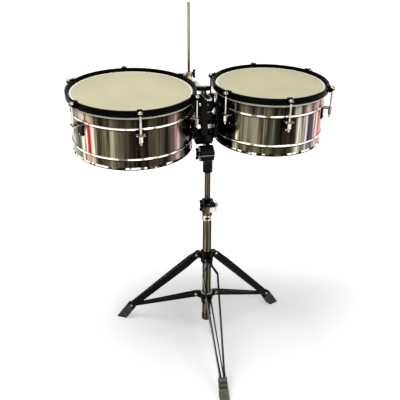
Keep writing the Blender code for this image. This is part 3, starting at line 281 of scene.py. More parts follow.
def paint_shell_reflections(side):
    finish, tree, shader, place = new_finish(side + "_shell_painted_reflections", "chrome", Metallic=1.0)
    spot = wire(tree, "SeparateXYZ", {"Vector": place})
    height = spot.outputs["Z"]
    share = angle_share(tree, spot, grain(tree, place, 12.0, 2.0, (1, 1, 0.5)), 0.018)
    middle = bands(tree, share, MIDDLE_REFLECTION_BANDS[side], deeper)
    outer = bands(tree, share, OUTER_REFLECTION_BANDS[side], deeper)
    above = sum_of(tree, "GREATER_THAN", height, BEAD_Z[0])
    below = sum_of(tree, "LESS_THAN", height, BEAD_Z[1])
    outside = sum_of(tree, "ADD", above, sum_of(tree, "MULTIPLY", below, 0.7))
    colour = blended(tree, "MIX", outside, middle, outer)
    # painted reflection streaking stretched along the height
    painted_reflection_streaks = ramp(tree, grain(tree, place, 110.0, 3.0, (1, 1, 0.03)),
                   [(0.38, ink(58, 52, 45)), (0.46, ink(196, 190, 180)), (0.55, ink(255, 255, 255))])
    colour = blended(tree, "MULTIPLY", 0.85, colour, painted_reflection_streaks)
    hoop_shade = spread(tree, height, *HOOP_SHADE_Z, 0.0, 0.75)
    colour = blended(tree, "MIX", hoop_shade, colour, ink(20, 18, 16))
    broken = spread(tree, grain(tree, place, 34.0, 2.0, (1, 1, 0.1)), 0.38, 0.46, 0.15, 1.0)
    # a painted shadow line under each bead, and a painted highlight along it, broken by noise
    for bead in BEAD_Z:
        under = sum_of(tree, "MULTIPLY", near_height(tree, height, bead - 0.0048, 0.0021), 0.72)
        colour = blended(tree, "MIX", under, colour, ink(22, 19, 16))
        painted_bead_highlight = sum_of(tree, "MULTIPLY", near_height(tree, height, bead + 0.0008, 0.0024), broken)
        colour = blended(tree, "MIX", painted_bead_highlight, colour, ink(254, 251, 242))
    # painted glints and dark marks on the rolled edge, and a painted shade line just under it
    painted_edge_glints = ramp(tree, grain(tree, place, 46.0, 2.0, (1, 1, 0.1)),
                  [(0.44, ink(18, 16, 14)), (0.50, ink(96, 88, 74)), (0.55, ink(252, 248, 236))])
    rolled, painted_under_edge_shade = (near_height(tree, height, SHELL_FOOT_Z + up, 0.0024) for up in (0.0058, 0.0010))
    colour = blended(tree, "MIX", rolled, colour, painted_edge_glints)
    colour = blended(tree, "MIX", painted_under_edge_shade, colour, ink(34, 30, 25))
    complete(tree, shader, place, colour, 60.0, 0.09, 0.18)
    return finish


SHELL_PAINTED_REFLECTIONS = {side: paint_shell_reflections(side) for side in MIDDLE_REFLECTION_BANDS}
print("made", [finish.name for finish in SHELL_PAINTED_REFLECTIONS.values()])

# %% [markdown]
# ## Chrome of the small parts and the tubes
#
# Rods, nuts and shelves are polished too, but they are so small that only their light and dark sides show.
# Their colour is a painted reflection: it follows the direction that the surface faces, through a soft noise,
# as if a room of lamps and dark corners stood round them. The tubes of the stand get painted reflections too:
# browner bands round the tube, with dark lines down their length.

# %% Small chrome with painted reflections
def painted_reflection_chrome(name, dark, middle, light, scale=1.6, rough=(0.12, 0.22)):
    finish, tree, shader, place = new_finish(name, "chrome", Metallic=1.0)
    room = grain(tree, wire(tree, "TexCoord").outputs["Normal"], scale, 1.0)
    # painted reflection: dark, middle and light by the way the surface faces
    colour = ramp(tree, room, [(0.36, ink(*dark)), (0.46, ink(*middle)), (0.56, ink(*light))])
    smear = ramp(tree, grain(tree, place, 180.0, 3.0, (1, 1, 0.25)),
                 [(0.35, ink(170, 164, 152)), (0.6, ink(255, 255, 255))])
    complete(tree, shader, place, blended(tree, "MULTIPLY", 0.7, colour, smear), 240.0, *rough, 0.05)
    return finish


BRIGHT_CHROME = painted_reflection_chrome("bright_chrome", (110, 104, 92), (206, 202, 190), (250, 248, 240))
HOLDER_CHROME = painted_reflection_chrome("holder_chrome", (120, 110, 92), (214, 204, 178), (250, 246, 232))
ARM_CHROME = painted_reflection_chrome("arm_chrome", (196, 192, 180), (240, 238, 228), (255, 254, 248))
ROD_CHROME = painted_reflection_chrome("rod_chrome", (46, 41, 34), (120, 110, 94), (238, 232, 216), scale=2.6)
STEEL = painted_reflection_chrome("bolt_steel", (70, 66, 60), (150, 146, 138), (235, 232, 226), rough=(0.25, 0.4))
print("five kinds of small chrome")

# %% Tube chrome with painted reflections
def painted_reflection_tube(name, stops, tone):
    """Painted reflections: upright bands by the angle round the tube, each colour times the tone, broken up
    along the length by painted dark lines.
    """
    finish, tree, shader, place = new_finish(name, "chrome", Metallic=1.0)
    spot = wire(tree, "SeparateXYZ", {"Vector": place})
    share = angle_share(tree, spot, grain(tree, place, 11.0, 2.0, (0.2, 0.2, 1)), 0.12)
    colour = bands(tree, share, stops, lambda rgb: ink(*(c * t for c, t in zip(rgb, tone))))
    # painted dark reflection lines down the tube
    lines = ramp(tree, grain(tree, place, 420.0, 2.0, (1, 1, 0.02)),
                 [(0.38, ink(90, 80, 68)), (0.50, ink(214, 208, 196)), (0.60, ink(255, 255, 255))])
    complete(tree, shader, place, blended(tree, "MULTIPLY", 0.8, colour, lines), 160.0, 0.12, 0.24, 0.04)
    return finish


BASE_CHROME = painted_reflection_tube("base_tube_chrome", [
    (-180, 60, 50, 42), (-150, 34, 27, 22), (-138, 150, 132, 112), (-122, 196, 182, 160), (-112, 96, 78, 62),
    (-100, 64, 50, 40), (-88, 120, 100, 82), (-76, 182, 166, 144), (-66, 84, 68, 55), (-52, 30, 24, 20),
    (-20, 90, 76, 62), (40, 170, 156, 136), (100, 70, 58, 48), (180, 60, 50, 42)], (0.67, 0.70, 0.67))
UPPER_CHROME = painted_reflection_tube("height_tube_chrome", [
    (-180, 58, 46, 38), (-150, 40, 31, 26), (-135, 132, 112, 92), (-118, 168, 148, 124), (-104, 88, 68, 54),
    (-90, 118, 98, 80), (-74, 158, 138, 114), (-62, 70, 54, 44), (-45, 34, 27, 22), (0, 100, 84, 70),
    (70, 160, 146, 126), (180, 58, 46, 38)], (0.60, 0.62, 0.61))
POST_CHROME = painted_reflection_tube("cowbell_post_chrome", [
    (-180, 90, 88, 70), (-150, 70, 68, 52), (-125, 168, 166, 142), (-105, 186, 184, 160),
    (-85, 128, 126, 102), (-60, 74, 72, 56), (0, 120, 118, 96), (90, 170, 168, 146),
    (180, 90, 88, 70)], (1.12, 1.12, 1.0))
print("three kinds of tube chrome")

# %% [markdown]
# ## Black enamel, rubber, film and plastic
#
# The castings are gloss black with the slight orange peel of powder coat, and their corners are painted
# paler, partly as wear and partly as a painted edge highlight. The leg strips are painted the same, with a
# hint of rust where the braces rub. The head is a thin coated film: nearly flat, cream, and a little mottled.
# The hoop under the rim is cream plastic. The boots are rubber: the front one is olive grey painted lighter
# as if lit from above, the two at the sides are painted darker as shade, and all three get painted shade in
# their grooves, at the sole's foot and at the mouth.

# %% Black enamel
def black_enamel(name, colour, edge_wear_and_highlight, rough, shine, tint=None, peel=0.06):
    finish, tree, shader, place = new_finish(name, "black_enamel", Specular_IOR_Level=shine)
    paler = [c + 4 for c in colour]
    patches = ramp(tree, grain(tree, place, 24.0, 4.0), [(0.35, ink(*colour)), (0.7, ink(*paler))])
    if tint:
        rust = spread(tree, grain(tree, place, 38.0, 4.0), 0.56, 0.68, 0.0, 0.75)
        patches = blended(tree, "MIX", rust, patches, ink(*tint))
    # paler convex edges: partly wear, partly a painted edge highlight
    corner = wire(tree, "NewGeometry").outputs["Pointiness"]
    edge = spread(tree, corner, 0.55, 0.66, 0.0, 0.5)
    complete(tree, shader, place, blended(tree, "MIX", edge, patches, ink(*edge_wear_and_highlight)), 420.0, *rough, peel)
    return finish


HOOP_BLACK = black_enamel("hoop_black", (4, 3, 3), (40, 34, 32), (0.12, 0.22), 0.02)
GLOSS_BLACK = black_enamel("bracket_gloss_black", (4, 4, 4), (60, 58, 54), (0.08, 0.16), 0.05)
CAST_BLACK = black_enamel("casting_black", (5, 5, 5), (70, 68, 64), (0.20, 0.32), 0.05, peel=0.12)
LEG_BLACK = black_enamel("leg_black", (5, 4, 4), (100, 94, 86), (0.18, 0.30), 0.06)
BRACE_BLACK = black_enamel("brace_black", (10, 8, 7), (120, 104, 90), (0.20, 0.34), 0.06, tint=(84, 52, 36))
print("five black enamels")

# %% Film, plastic and rubber
def plain_stuff(name, slot, pale, deep, scale, rough, bump):
    """Two close colours in soft patches, and a fine surface."""
    finish, tree, shader, place = new_finish(name, slot)
    colour = ramp(tree, grain(tree, place, scale), [(0.36, ink(*deep)), (0.64, ink(*pale))])
    fleck = ramp(tree, grain(tree, place, 900.0, 2.0), [(0.3, ink(232, 230, 226)), (0.6, ink(255, 255, 255))])
    complete(tree, shader, place, blended(tree, "MULTIPLY", 0.5, colour, fleck), 700.0, *rough, bump)
    return finish


HEAD_FILM = plain_stuff("coated_head_film", "drumhead", (214, 208, 170), (205, 197, 164), 7.0,
                        (0.50, 0.64), 0.03)
# the head's collar, painted near white as a highlight
HEAD_EDGE_HIGHLIGHT = plain_stuff("head_edge_painted_highlight", "drumhead", (255, 254, 244), (250, 247, 228), 30.0,
                        (0.35, 0.5), 0.02)
FLESH_CREAM = plain_stuff("flesh_hoop_cream", "flesh_hoop", (252, 246, 224), (216, 206, 176), 22.0,
                          (0.30, 0.45), 0.02)
# the front boot's rubber, painted lighter as if lit from above
BOOT_RUBBER_LIT = plain_stuff("boot_rubber_olive_painted_lit", "boot_rubber", (112, 108, 92), (84, 80, 67), 60.0,
                          (0.62, 0.8), 0.15)
# the side boots' rubber: the same rubber painted darker as shade
BOOT_RUBBER_SHADED = plain_stuff("boot_rubber_painted_shade", "boot_rubber", (58, 53, 45), (28, 26, 22), 60.0,
                          (0.62, 0.8), 0.15)
# painted shade for the grooves, the sole's foot and the mouth
BOOT_GROOVE_SHADE = plain_stuff("boot_painted_groove_shade", "boot_rubber", (26, 24, 21), (16, 14, 12), 60.0, (0.6, 0.75), 0.15)
NYLON = plain_stuff("bush_nylon", "chrome", (236, 228, 200), (212, 202, 170), 80.0, (0.35, 0.5), 0.03)
print("finishes so far:", len(bpy.data.materials))

# %% [markdown]
# ## Shaping helpers
#
# Most of the instrument is round, so the main tool is a lathe: it sweeps a profile of radius and height
# round the Z axis. Flat pieces are outlines with a thickness. Both then get a Bevel modifier, because no real
# metal edge is perfectly sharp and it is the rounded edge that catches the light.

# %% Rounded outlines and the lathe
def filleted(points, radius, closed=True, steps=3):
    """Round the corners of an outline."""
    out = []
    count = len(points)
    for i, point in enumerate(points):
        here = Vector(point)
        if not closed and i in (0, count - 1):
            out.append(tuple(here))
            continue
        before, after = Vector(points[i - 1]) - here, Vector(points[(i + 1) % count]) - here
        reach = min(radius, before.length * 0.45, after.length * 0.45)
        start, end = here + before.normalized() * reach, here + after.normalized() * reach
        for k in range(steps + 1):
            t = k / steps
            out.append(tuple(start * (1 - t) ** 2 + here * 2 * t * (1 - t) + end * t ** 2))
    return out


def around(x, y, steps):
    """Points written as their distances from one corner."""
    return [(x + dx, y + dy) for dx, dy in steps]


def rounded_box(x1, x2, y1, y2, radius, steps=3):
    return filleted([(x1, y1), (x2, y1), (x2, y2), (x1, y2)], radius, steps=steps)


def lathe(profile, steps=96, closed=False):
    """Sweep a profile of (radius, height) round the Z axis."""
    bm = bmesh.new()
    rings = []
    for radius, height in profile:
        if radius < 1e-7:
            rings.append([bm.verts.new((0, 0, height))])
            continue
        turns = [2 * math.pi * i / steps for i in range(steps)]
        rings.append([bm.verts.new((radius * math.cos(a), radius * math.sin(a), height)) for a in turns])
    pairs = list(zip(rings, rings[1:])) + ([(rings[-1], rings[0])] if closed else [])
    for one, two in pairs:
        for i in range(steps):
            j = (i + 1) % steps
            ring = [one[i % len(one)], one[j % len(one)], two[j % len(two)], two[i % len(two)]]
            ring = list(dict.fromkeys(ring))
            if len(ring) > 2:
                bm.faces.new(ring)
    return bm


print("a box with rounded corners takes", len(rounded_box(0, 1, 0, 1, 0.1)), "points")

# %% Plates
def plate(outline, low, high, holes=()):
    """An outline in XY with a thickness along Z. Holes are outlines too."""
    bm = bmesh.new()
    loops = []
    for ring in (outline, *holes):
        spots = [bm.verts.new((x, y, low)) for x, y in ring]
        loops += [bm.edges.new((a, b)) for a, b in zip(spots, spots[1:] + spots[:1])]
    if holes:
        bmesh.ops.triangle_fill(bm, edges=loops, use_beauty=True, use_dissolve=True)
    else:
        bm.faces.new(bm.verts[:])
    made = bmesh.ops.extrude_face_region(bm, geom=bm.faces[:])
    moved = [item for item in made["geom"] if isinstance(item, bmesh.types.BMVert)]
    bmesh.ops.translate(bm, vec=(0, 0, high - low), verts=moved)
    return bm


def join_rings(bm, rings):
    """Faces between rings of equally many corners."""
    for one, two in zip(rings, rings[1:]):
        for i in range(len(one)):
            j = (i + 1) % len(one)
            bm.faces.new((one[i], one[j], two[j], two[i]))


def turned_to(bm, matrix):
    bmesh.ops.transform(bm, matrix=matrix, verts=bm.verts)
    return bm


def merged(*parts):
    """Several shapes in one mesh."""
    whole = bmesh.new()
    for bm in parts:
        scrap = bpy.data.meshes.new("scrap")
        bm.to_mesh(scrap)
        bm.free()
        whole.from_mesh(scrap)
        bpy.data.meshes.remove(scrap)
    return whole


print("plates ready")

# %% From a shape to a piece that rides on a body
def mesh_of(bm, name, finish):
    bmesh.ops.recalc_face_normals(bm, faces=bm.faces)
    mesh = bpy.data.meshes.new(name)
    bm.to_mesh(mesh)
    bm.free()
    mesh.materials.append(finish)
    mesh.shade_smooth()
    mesh.set_sharp_from_angle(angle=math.radians(40))
    return mesh


def put(name, mesh, body, nodes=(), at=Matrix.Identity(4), bevel=0.0, segments=2):
    """Place a piece, round its edges, and say what it rides on and which frame pieces it stands for."""
    piece = bpy.data.objects.new(name, mesh)
    bpy.context.scene.collection.objects.link(piece)
    piece.matrix_world = at
    if bevel:
        edges = piece.modifiers.new("rounded_edges", "BEVEL")
        edges.width = bevel
        edges.segments = segments
        edges.limit_method = "ANGLE"
        edges.angle_limit = math.radians(35)
        edges.harden_normals = True
    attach(piece, body)
    if nodes:
        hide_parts(*nodes)
    return piece


def add_piece(name, bm, finish, body, nodes=(), at=STAND_AT, bevel=0.0, segments=2):
    """Mesh and place a shape that is used once."""
    return put(name, mesh_of(bm, name, finish), body, nodes, at, bevel, segments)


print("shaping helpers ready")

# %% [markdown]
# Castings such as the tilter and the leg hub already have the right form in the frame, only with hard edges.
# For those the lesson takes a copy of the frame's mesh, welds its seams, merges its flat faces and rounds the
# edges. A second finish can go on some of its faces, for a bolt end or a rivet head.

# %% Softened copies
def softened(name, node, body, finish, bevel, second=None, where=None):
    """A frame piece with rounded edges. The second finish goes on the faces that where() picks."""
    bm = bmesh.new()
    bm.from_mesh(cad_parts[node].data)
    bmesh.ops.remove_doubles(bm, verts=bm.verts, dist=0.000003)
    bmesh.ops.dissolve_limit(bm, angle_limit=math.radians(0.4), verts=bm.verts, edges=bm.edges)
    for face in bm.faces:
        face.material_index = 1 if second and where(face.calc_center_median() - STAND) else 0
    mesh = mesh_of(bm, name, finish)
    if second:
        mesh.materials.append(second)
    return put(name, mesh, body, (node,), bevel=bevel)


def drum_frame(side):
    """The drum's own axes: the origin on its pivot height, Z along the shell."""
    return PIVOT_AT @ Matrix.Rotation(LEAN[side], 4, "X") @ Matrix.Translation((DRUM_X[side], 0, 0))


print("left drum's frame stands at", [round(v, 4) for v in drum_frame("left").translation])

# %% [markdown]
# ## The shells
#
# A timbale shell is rolled from sheet metal. Two beads are pressed outwards to stiffen it, and its lower edge
# is rolled over so that it doesn't cut a hand. All of that is one profile for the lathe. The inside follows
# the outside at the thickness of the sheet, because the drum is open below and can be seen from there.

# %% Shells
DRUM_STEPS = 192               # faces round a shell, a head or a hoop


def bulge(radius, middle, rise, half, steps=10, back=False):
    """Points of a half round bead, from its top down, or from its foot up."""
    turns = [math.pi * i / steps for i in range(steps + 1)]
    points = [(radius + rise * math.sin(t), middle + half * math.cos(t)) for t in turns]
    return points[::-1] if back else points


def shell_profile(radius):
    inner = radius - SHELL_WALL
    outside = (around(inner, EDGE_Z, [(0, -0.0008), (0.0005, 0)])
               + around(radius, EDGE_Z, [(-0.0004, 0), (0, -0.0008)]))
    for z in BEAD_Z:
        outside += bulge(radius, z, 0.0025, 0.0042)
    outside += bulge(radius, SHELL_FOOT_Z + 0.0026, 0.0020, 0.0026)
    inside = [(inner, SHELL_FOOT_Z)]
    for z in reversed(BEAD_Z):
        inside += bulge(inner, z, 0.0023, 0.0038, back=True)
    return outside + inside


for side, radius in SHELL_R.items():
    shell = add_piece(side + "_shell_metal", lathe(shell_profile(radius), DRUM_STEPS, closed=True),
                      SHELL_PAINTED_REFLECTIONS[side], side + "_drum", (side + "_shell",), drum_frame(side))
    print(side, "shell has", len(shell.data.polygons), "faces")

# %% [markdown]
# ## Heads and hoops
#
# The head is a film stretched over the shell's edge. Its flat part stops at a narrow collar, where the film
# bends down; the collar is painted near white as a highlight. A cream flesh hoop grips the film below, and
# the thick black counterhoop presses on that.
# The lathe makes all four. The film gets a few rings so that it can sag by a hair towards its middle.

# %% Profiles of the head and its hoops
RING_WIDTH = 0.0052            # the collar at the head's edge, painted near white as a highlight
HEAD_SAG = 0.0002
SKIRT_DEPTH = 0.0170           # how far the film reaches down
FLESH_HEIGHT = 0.0135
HOOP_WALL = 0.0066
HOOP_HEIGHT = 0.0190


def head_profile(radius):
    shares = (0.0, 0.2, 0.4, 0.6, 0.8, 0.92)
    flat = [(radius * share, HEAD_Z - HEAD_SAG * (1 - share ** 2)) for share in shares]
    return flat + [(radius - RING_WIDTH, HEAD_Z)]


def collar_profile(radius):
    foot = 0.0010 - SKIRT_DEPTH
    return (around(radius - RING_WIDTH, HEAD_Z, [(-0.0002, -0.0003), (0, 0.0002), (0.0016, 0.0005)])
            + around(radius, HEAD_Z, [(-0.0002, 0.0003), (0.0007, -0.0012), (0.0007, foot), (0.0004, foot),
                                      (-0.0004, -0.0010), (-0.0022, -0.0005)]))


def flesh_profile(radius):
    inner, outer, foot = radius + 0.0012, radius + 0.0054, HEAD_Z - SKIRT_DEPTH
    return rounded_box(inner, outer, foot + FLESH_HEIGHT, foot, 0.0014)


def hoop_profile(outer):
    inner, foot, low = outer - HOOP_WALL, RIM_Z - HOOP_HEIGHT, EDGE_Z - 0.0025
    lip = inner - 0.0040
    return filleted([(inner, RIM_Z), (outer, RIM_Z), (outer, foot), (inner, foot), (inner, low), (lip, low),
                     (lip, low + 0.0031), (inner, low + 0.0031)], 0.0017)


print("hoops stand", round(1000 * (RIM_Z - HEAD_Z), 1), "mm above the heads")

# %% Heads, flesh hoops and counterhoops
for side, radius in SHELL_R.items():
    for piece, profile, closed, finish, node in (
            ("_head_film", head_profile(radius), False, HEAD_FILM, "_head"),
            # the collar is painted near white as a highlight
            ("_head_collar", collar_profile(radius), True, HEAD_EDGE_HIGHLIGHT, "_head"),
            ("_flesh_ring", flesh_profile(radius), True, FLESH_CREAM, "_flesh_hoop"),
            ("_rim_hoop", hoop_profile(HOOP_R[side]), True, HOOP_BLACK, "_counterhoop")):
        add_piece(side + piece, lathe(profile, DRUM_STEPS, closed), finish, side + "_drum",
                  (side + node,), drum_frame(side))
    print(side, "head is", round(2000 * radius), "mm across")

# %% [markdown]
# ## Tuning hardware
#
# Six rods pull each hoop down. A rod hangs from a black claw that hooks over the hoop, and runs through the
# chrome shelf of a lug into a long nut. One set of meshes is made for each drum and used six times, turned
# round the drum's axis, just as six equal parts come out of one bag.

# %% Rods, claws and lugs
CLAW_SEAT_Z = RIM_Z - 0.0042
ROD_OUT = 0.0100               # from the hoop's outside to the rod's axis
NUT_LENGTH = 0.0190
LUG_HALF = 0.0129
LUG_PLATE = 0.0035
LUG_REACH = 0.0270


def rod_mesh(reach):
    """The rod with its head, the long nut and the washer."""
    nut_top = LUG_TOP_Z - 0.0033
    nut_foot = nut_top - NUT_LENGTH
    rod = around(0, CLAW_SEAT_Z, [(0, 0.0068), (0.0026, 0.0066), (0.0048, 0.0057), (0.0064, 0.0042),
                                  (0.0073, 0.0026), (0.0075, 0.0014), (0.0075, 0.0002), (0.0058, 0),
                                  (0.0034, 0), (0.0030, -0.0050)])
    rod += around(0, nut_foot, [(0.0030, 0), (0.0030, -0.0072), (0.0024, -0.0080), (0, -0.0080)])
    nut = around(0, nut_top, [(0, 0), (0.0048, 0), (0.0058, -0.0012)])
    nut += around(0, nut_foot, [(0.0058, 0.0012), (0.0048, 0), (0, 0)])
    washer = around(0, LUG_TOP_Z, [(0, 0.0001), (0.0052, 0.0001), (0.0052, 0.0010), (0.0032, 0.0014),
                                   (0, 0.0014)])
    whole = merged(lathe(rod, 32), lathe(nut, 6), lathe(washer, 24))
    return turned_to(whole, Matrix.Translation((reach, 0, 0)))


def claw_mesh(outer):
    """A side view in (radius, height), as thick as the claw is wide. It hooks over the hoop's corner."""
    top = RIM_Z + 0.0003
    hook = around(outer, top, [(-0.0069, 0), (-0.0069, 0.0022), (-0.0058, 0.0030), (0.0020, 0.0030),
                               (0.0035, 0.0022)])
    ledge = around(outer, CLAW_SEAT_Z, [(0.0038, 0), (0.0168, 0), (0.0175, -0.0010), (0.0172, -0.0030),
                                        (0.0060, -0.0118), (0.0003, -0.0120)])
    return turned_to(plate([*hook, *ledge, (outer + 0.0003, top)], -0.0074, 0.0074), FACE_FRONT)


def lug_meshes(shell_r):
    """The back plate, and the shelf with the screw that holds the plate."""
    face = shell_r + 0.0003
    outline = rounded_box(-LUG_HALF, LUG_HALF, LUG_TOP_Z - 0.0016, LUG_TOP_Z - 0.0355, 0.0034)
    stand_up = Matrix(((0, 0, 1, 0), (1, 0, 0, 0), (0, 1, 0, 0), (0, 0, 0, 1)))
    back = turned_to(plate(outline, face, face + LUG_PLATE), stand_up)
    shelf_line = rounded_box(face + 0.0004, face + LUG_REACH, -LUG_HALF, LUG_HALF, 0.0040)
    shelf = plate(shelf_line, LUG_TOP_Z - 0.0030, LUG_TOP_Z)
    dome = [(0.0, 0.0024), (0.0016, 0.0022), (0.0028, 0.0016), (0.0035, 0.0006), (0.0035, 0.0), (0.0, 0.0)]
    screw_at = Matrix.Translation((face + 0.0034, 0, LUG_TOP_Z - 0.0306)) @ TO_RIGHT
    return back, merged(shelf, turned_to(lathe(dome, 24), screw_at))


print("a lug shelf reaches", round(1000 * LUG_REACH), "mm out")

# %% Six of each round both drums
for side, radius in SHELL_R.items():
    back, shelf = lug_meshes(radius)
    kit = [(part, mesh_of(bm, side + part, finish), node, bevel) for part, bm, finish, node, bevel in (
        ("_rod", rod_mesh(HOOP_R[side] + ROD_OUT), ROD_CHROME, "_tension_rod", 0.0004),
        ("_claw", claw_mesh(HOOP_R[side]), HOOP_BLACK, "_tension_rod", 0.0008),
        ("_lug_back", back, GLOSS_BLACK, "_lug", 0.0008),
        ("_lug_shelf", shelf, ROD_CHROME, "_lug", 0.0007))]
    for number, turn in enumerate(LUG_TURNS, 1):
        at = drum_frame(side) @ Matrix.Rotation(turn, 4, "Z")
        for part, mesh, node, bevel in kit:
            put("%s%s_%d" % (side, part, number), mesh, side + "_drum",
                ("%s%s_%d" % (side, node, number),), at, bevel)
print("tuning pieces:", len(SHELL_R) * len(LUG_TURNS) * len(kit))

# %% [markdown]
# ## Bracket, drum mounts and tilter
#
# The centre bracket is a black casting with a round disc at each side. A toothed disc on each drum bears
# against it, and a nut inside the bracket's window locks the drum's lean. The tilter below works in the same
# way for both drums together. A thin bright chrome strip across its front stands in for a highlight line
# there. A thin web closes the back of the bracket's windows, a shoulder plate stands behind the post, and a
# cross bolt ends in a round cap at each side of the post.

# %% Bracket, mounts and tilter
NUT_X, SCREW_X = 0.0260, 0.0410        # a mount's nut lies within the first, its screws past the second
TILTER_Z = 0.6650
softened("bracket_casting", "centre_bracket", "tilter_head", GLOSS_BLACK, 0.0013)
for side in SHELL_R:
    softened(side + "_mount_casting", side + "_mount", side + "_drum", GLOSS_BLACK, 0.0010,
             BRIGHT_CHROME, lambda spot: abs(spot.x) < NUT_X or abs(spot.x) > SCREW_X)
softened("tilter_sleeve", "tilter_base", "tilter_base", CAST_BLACK, 0.0014)
softened("tilter_neck", "tilter_head", "tilter_head", CAST_BLACK, 0.0014)

# %% Highlight strip, shoulder, web and bolt caps
strip_at = STAND_AT @ Matrix.Translation((0, 0, TILTER_Z)) @ FACE_FRONT
# a thin bright chrome strip that stands in for a highlight line across the tilter's front
add_piece("tilter_front_highlight_strip", plate(rounded_box(-0.0255, 0.0150, -0.0010, 0.0010, 0.0008), 0.0236, 0.0246),
          BRIGHT_CHROME, "tilter_head", at=strip_at)
shoulder = filleted([(-0.0290, 0.0445), (0.0290, 0.0445), (0.0360, 0.0600), (0.0340, 0.0990),
                     (-0.0340, 0.0990), (-0.0360, 0.0600)], 0.0030)
add_piece("bracket_shoulder", plate(shoulder, -0.0118, -0.0070), GLOSS_BLACK, "tilter_head",
          at=PIVOT_AT @ FACE_FRONT, bevel=0.0010)
add_piece("bracket_web", plate(rounded_box(-0.0258, 0.0258, -0.0258, 0.0250, 0.0010), -0.0122, -0.0113),
          GLOSS_BLACK, "tilter_head", at=PIVOT_AT @ FACE_FRONT)
CAP = [(0.0, 0.0080), (0.0030, 0.0078), (0.0054, 0.0064), (0.0066, 0.0040), (0.0068, 0.0002), (0.0, 0.0002)]
for side, x, facing in (("left", -0.0095, TO_LEFT), ("right", 0.0095, TO_RIGHT)):
    add_piece(side + "_post_bolt_cap", lathe(CAP, 32), HOLDER_CHROME, "tilter_head",
              at=PIVOT_AT @ Matrix.Translation((x, 0, 0.0690)) @ facing)
print("trim on the bracket and tilter: 5 pieces")

# %% [markdown]
# ## Wing screws
#
# Four wing screws clamp the tilter, the height clamp, the brace collar and the cowbell post. Each has a round
# hub and two ears with rounded tips. The ears are an outline with a thickness and a generous bevel, which
# reads as a casting polished by fingers.

# %% Wing screw shapes
def wing_mesh(span):
    half = [(0.0050, 0.0020), (span * 0.72, 0.0026), (span * 0.95, 0.0044), (span * 0.995, 0.0070),
            (span * 0.90, 0.0108), (span * 0.74, 0.0120), (span * 0.52, 0.0104), (0.0046, 0.0086)]
    outline = half + [(-x, y) for x, y in reversed(half)]
    ears = turned_to(plate(filleted(outline, 0.0014), -0.0023, 0.0023), FACE_FRONT)
    hub = [(0.0, 0.0100), (0.0040, 0.0099), (0.0054, 0.0090), (0.0060, 0.0060), (0.0067, 0.0020),
           (0.0067, 0.0003), (0.0, 0.0003)]
    return merged(ears, lathe(hub, 32))


def stud_mesh(radius, length, head_r, head_h):
    """The screw itself. Its far end has a round head or nut, unless head_r is 0."""
    line = [(0.0, 0.0010), (radius, 0.0010), (radius, -length)]
    if head_r:
        line += around(head_r, -length,
                       [(-0.0008, 0), (0, -0.0008), (0, 0.0012 - head_h), (-0.0014, -head_h)])
    return lathe(line + [(0.0, line[-1][1])], 32)


def wing_screw(name, node, span, spot, facing, radius, length, head_r=0.0, head_h=0.0):
    """The node and the body that it rides on share their name."""
    at = STAND_AT @ Matrix.Translation(spot) @ facing
    add_piece(name + "_wing", wing_mesh(span), CAST_BLACK, node, (node,), at, 0.0012, 3)
    add_piece(name + "_stud", stud_mesh(radius, length, head_r, head_h), STEEL, node, (node,), at)


print("wing screw helpers ready")

# %% Put the wing screws on
WIDE, NARROW = 0.0192, 0.0143          # from a hub's middle to its ears' tips
COLLAR_SCREW_R, COLLAR_SCREW_Z = 0.0303, 0.1598
ROUND_COLLAR = Matrix.Rotation(math.radians(87), 4, "Z")
wing_screw("tilter_bolt", "tilter_wing_bolt", WIDE, (-0.0263, 0, TILTER_Z), TO_LEFT,
           0.0040, 0.0421, 0.0090, 0.0049)
wing_screw("clamp_bolt", "clamp_wing_bolt", WIDE, (-0.0188, -0.0225, 0.5038), TO_LEFT,
           0.0030, 0.0376, 0.0060, 0.0109)
wing_screw("cowbell_screw", "cowbell_wing_screw", NARROW, (-0.0022, 0.2220, 0.8538), TO_RIGHT, 0.0030, 0.0058)
collar_spot = ROUND_COLLAR @ Vector((COLLAR_SCREW_R, 0, COLLAR_SCREW_Z))
wing_screw("collar_screw", "collar_wing_screw", NARROW, collar_spot, ROUND_COLLAR @ TO_RIGHT, 0.0030, 0.0156)
print("four wing screws on")

# %% [markdown]
# ## Cowbell arm and post
#
# A slotted chrome arm lies on top of the bracket's post, under a screw with an oval grip. It reaches back
# between the drums to a small clamp, and the clamp holds the thin post that a cowbell would sit on. The post
# has a few shallow rings near its top. They are cut inwards in the lathe profile.

# %% Arm and clamp
ARM_TOP = 0.8338
arm = plate(rounded_box(-0.0104, 0.0104, -0.0179, 0.2150, 0.0080, 5), ARM_TOP - 0.0040, ARM_TOP,
            [rounded_box(-0.0050, 0.0050, -0.0079, 0.1449, 0.0048, 5)])
add_piece("slotted_arm", arm, ARM_CHROME, "cowbell_arm", ("cowbell_arm",), bevel=0.0007)
clamp = plate(rounded_box(-0.0224, -0.0026, 0.2121, 0.2314, 0.0030, 5), ARM_TOP - 0.0058, ARM_TOP + 0.0259)
cheek = plate(rounded_box(-0.0219, -0.0031, 0.2080, 0.2316, 0.0020, 5), ARM_TOP + 0.0040, ARM_TOP + 0.0110)
add_piece("post_clamp", merged(clamp, cheek), HOLDER_CHROME, "cowbell_arm", ("cowbell_arm",),
          bevel=0.0018, segments=3)
print("arm is 4 mm thick, its top at", ARM_TOP, "m")

# %% Cowbell post
POST_R, POST_FOOT, POST_TOP = 0.0040, -0.0288, 0.2402          # heights from the arm's top
POST_RINGS, RING_PITCH = 5, 0.0042


def post_profile(low, high, radius):
    line = [(0.0, low), (radius - 0.0006, low), (radius, low + 0.0006)]
    for k in reversed(range(POST_RINGS)):
        line += around(radius, high - 0.0120 - RING_PITCH * k,
                       [(0, -0.0012), (-0.0007, -0.0006), (-0.0007, 0.0006), (0, 0.0012)])
    return line + [(radius, high - 0.0008), (radius - 0.0008, high), (0.0, high)]


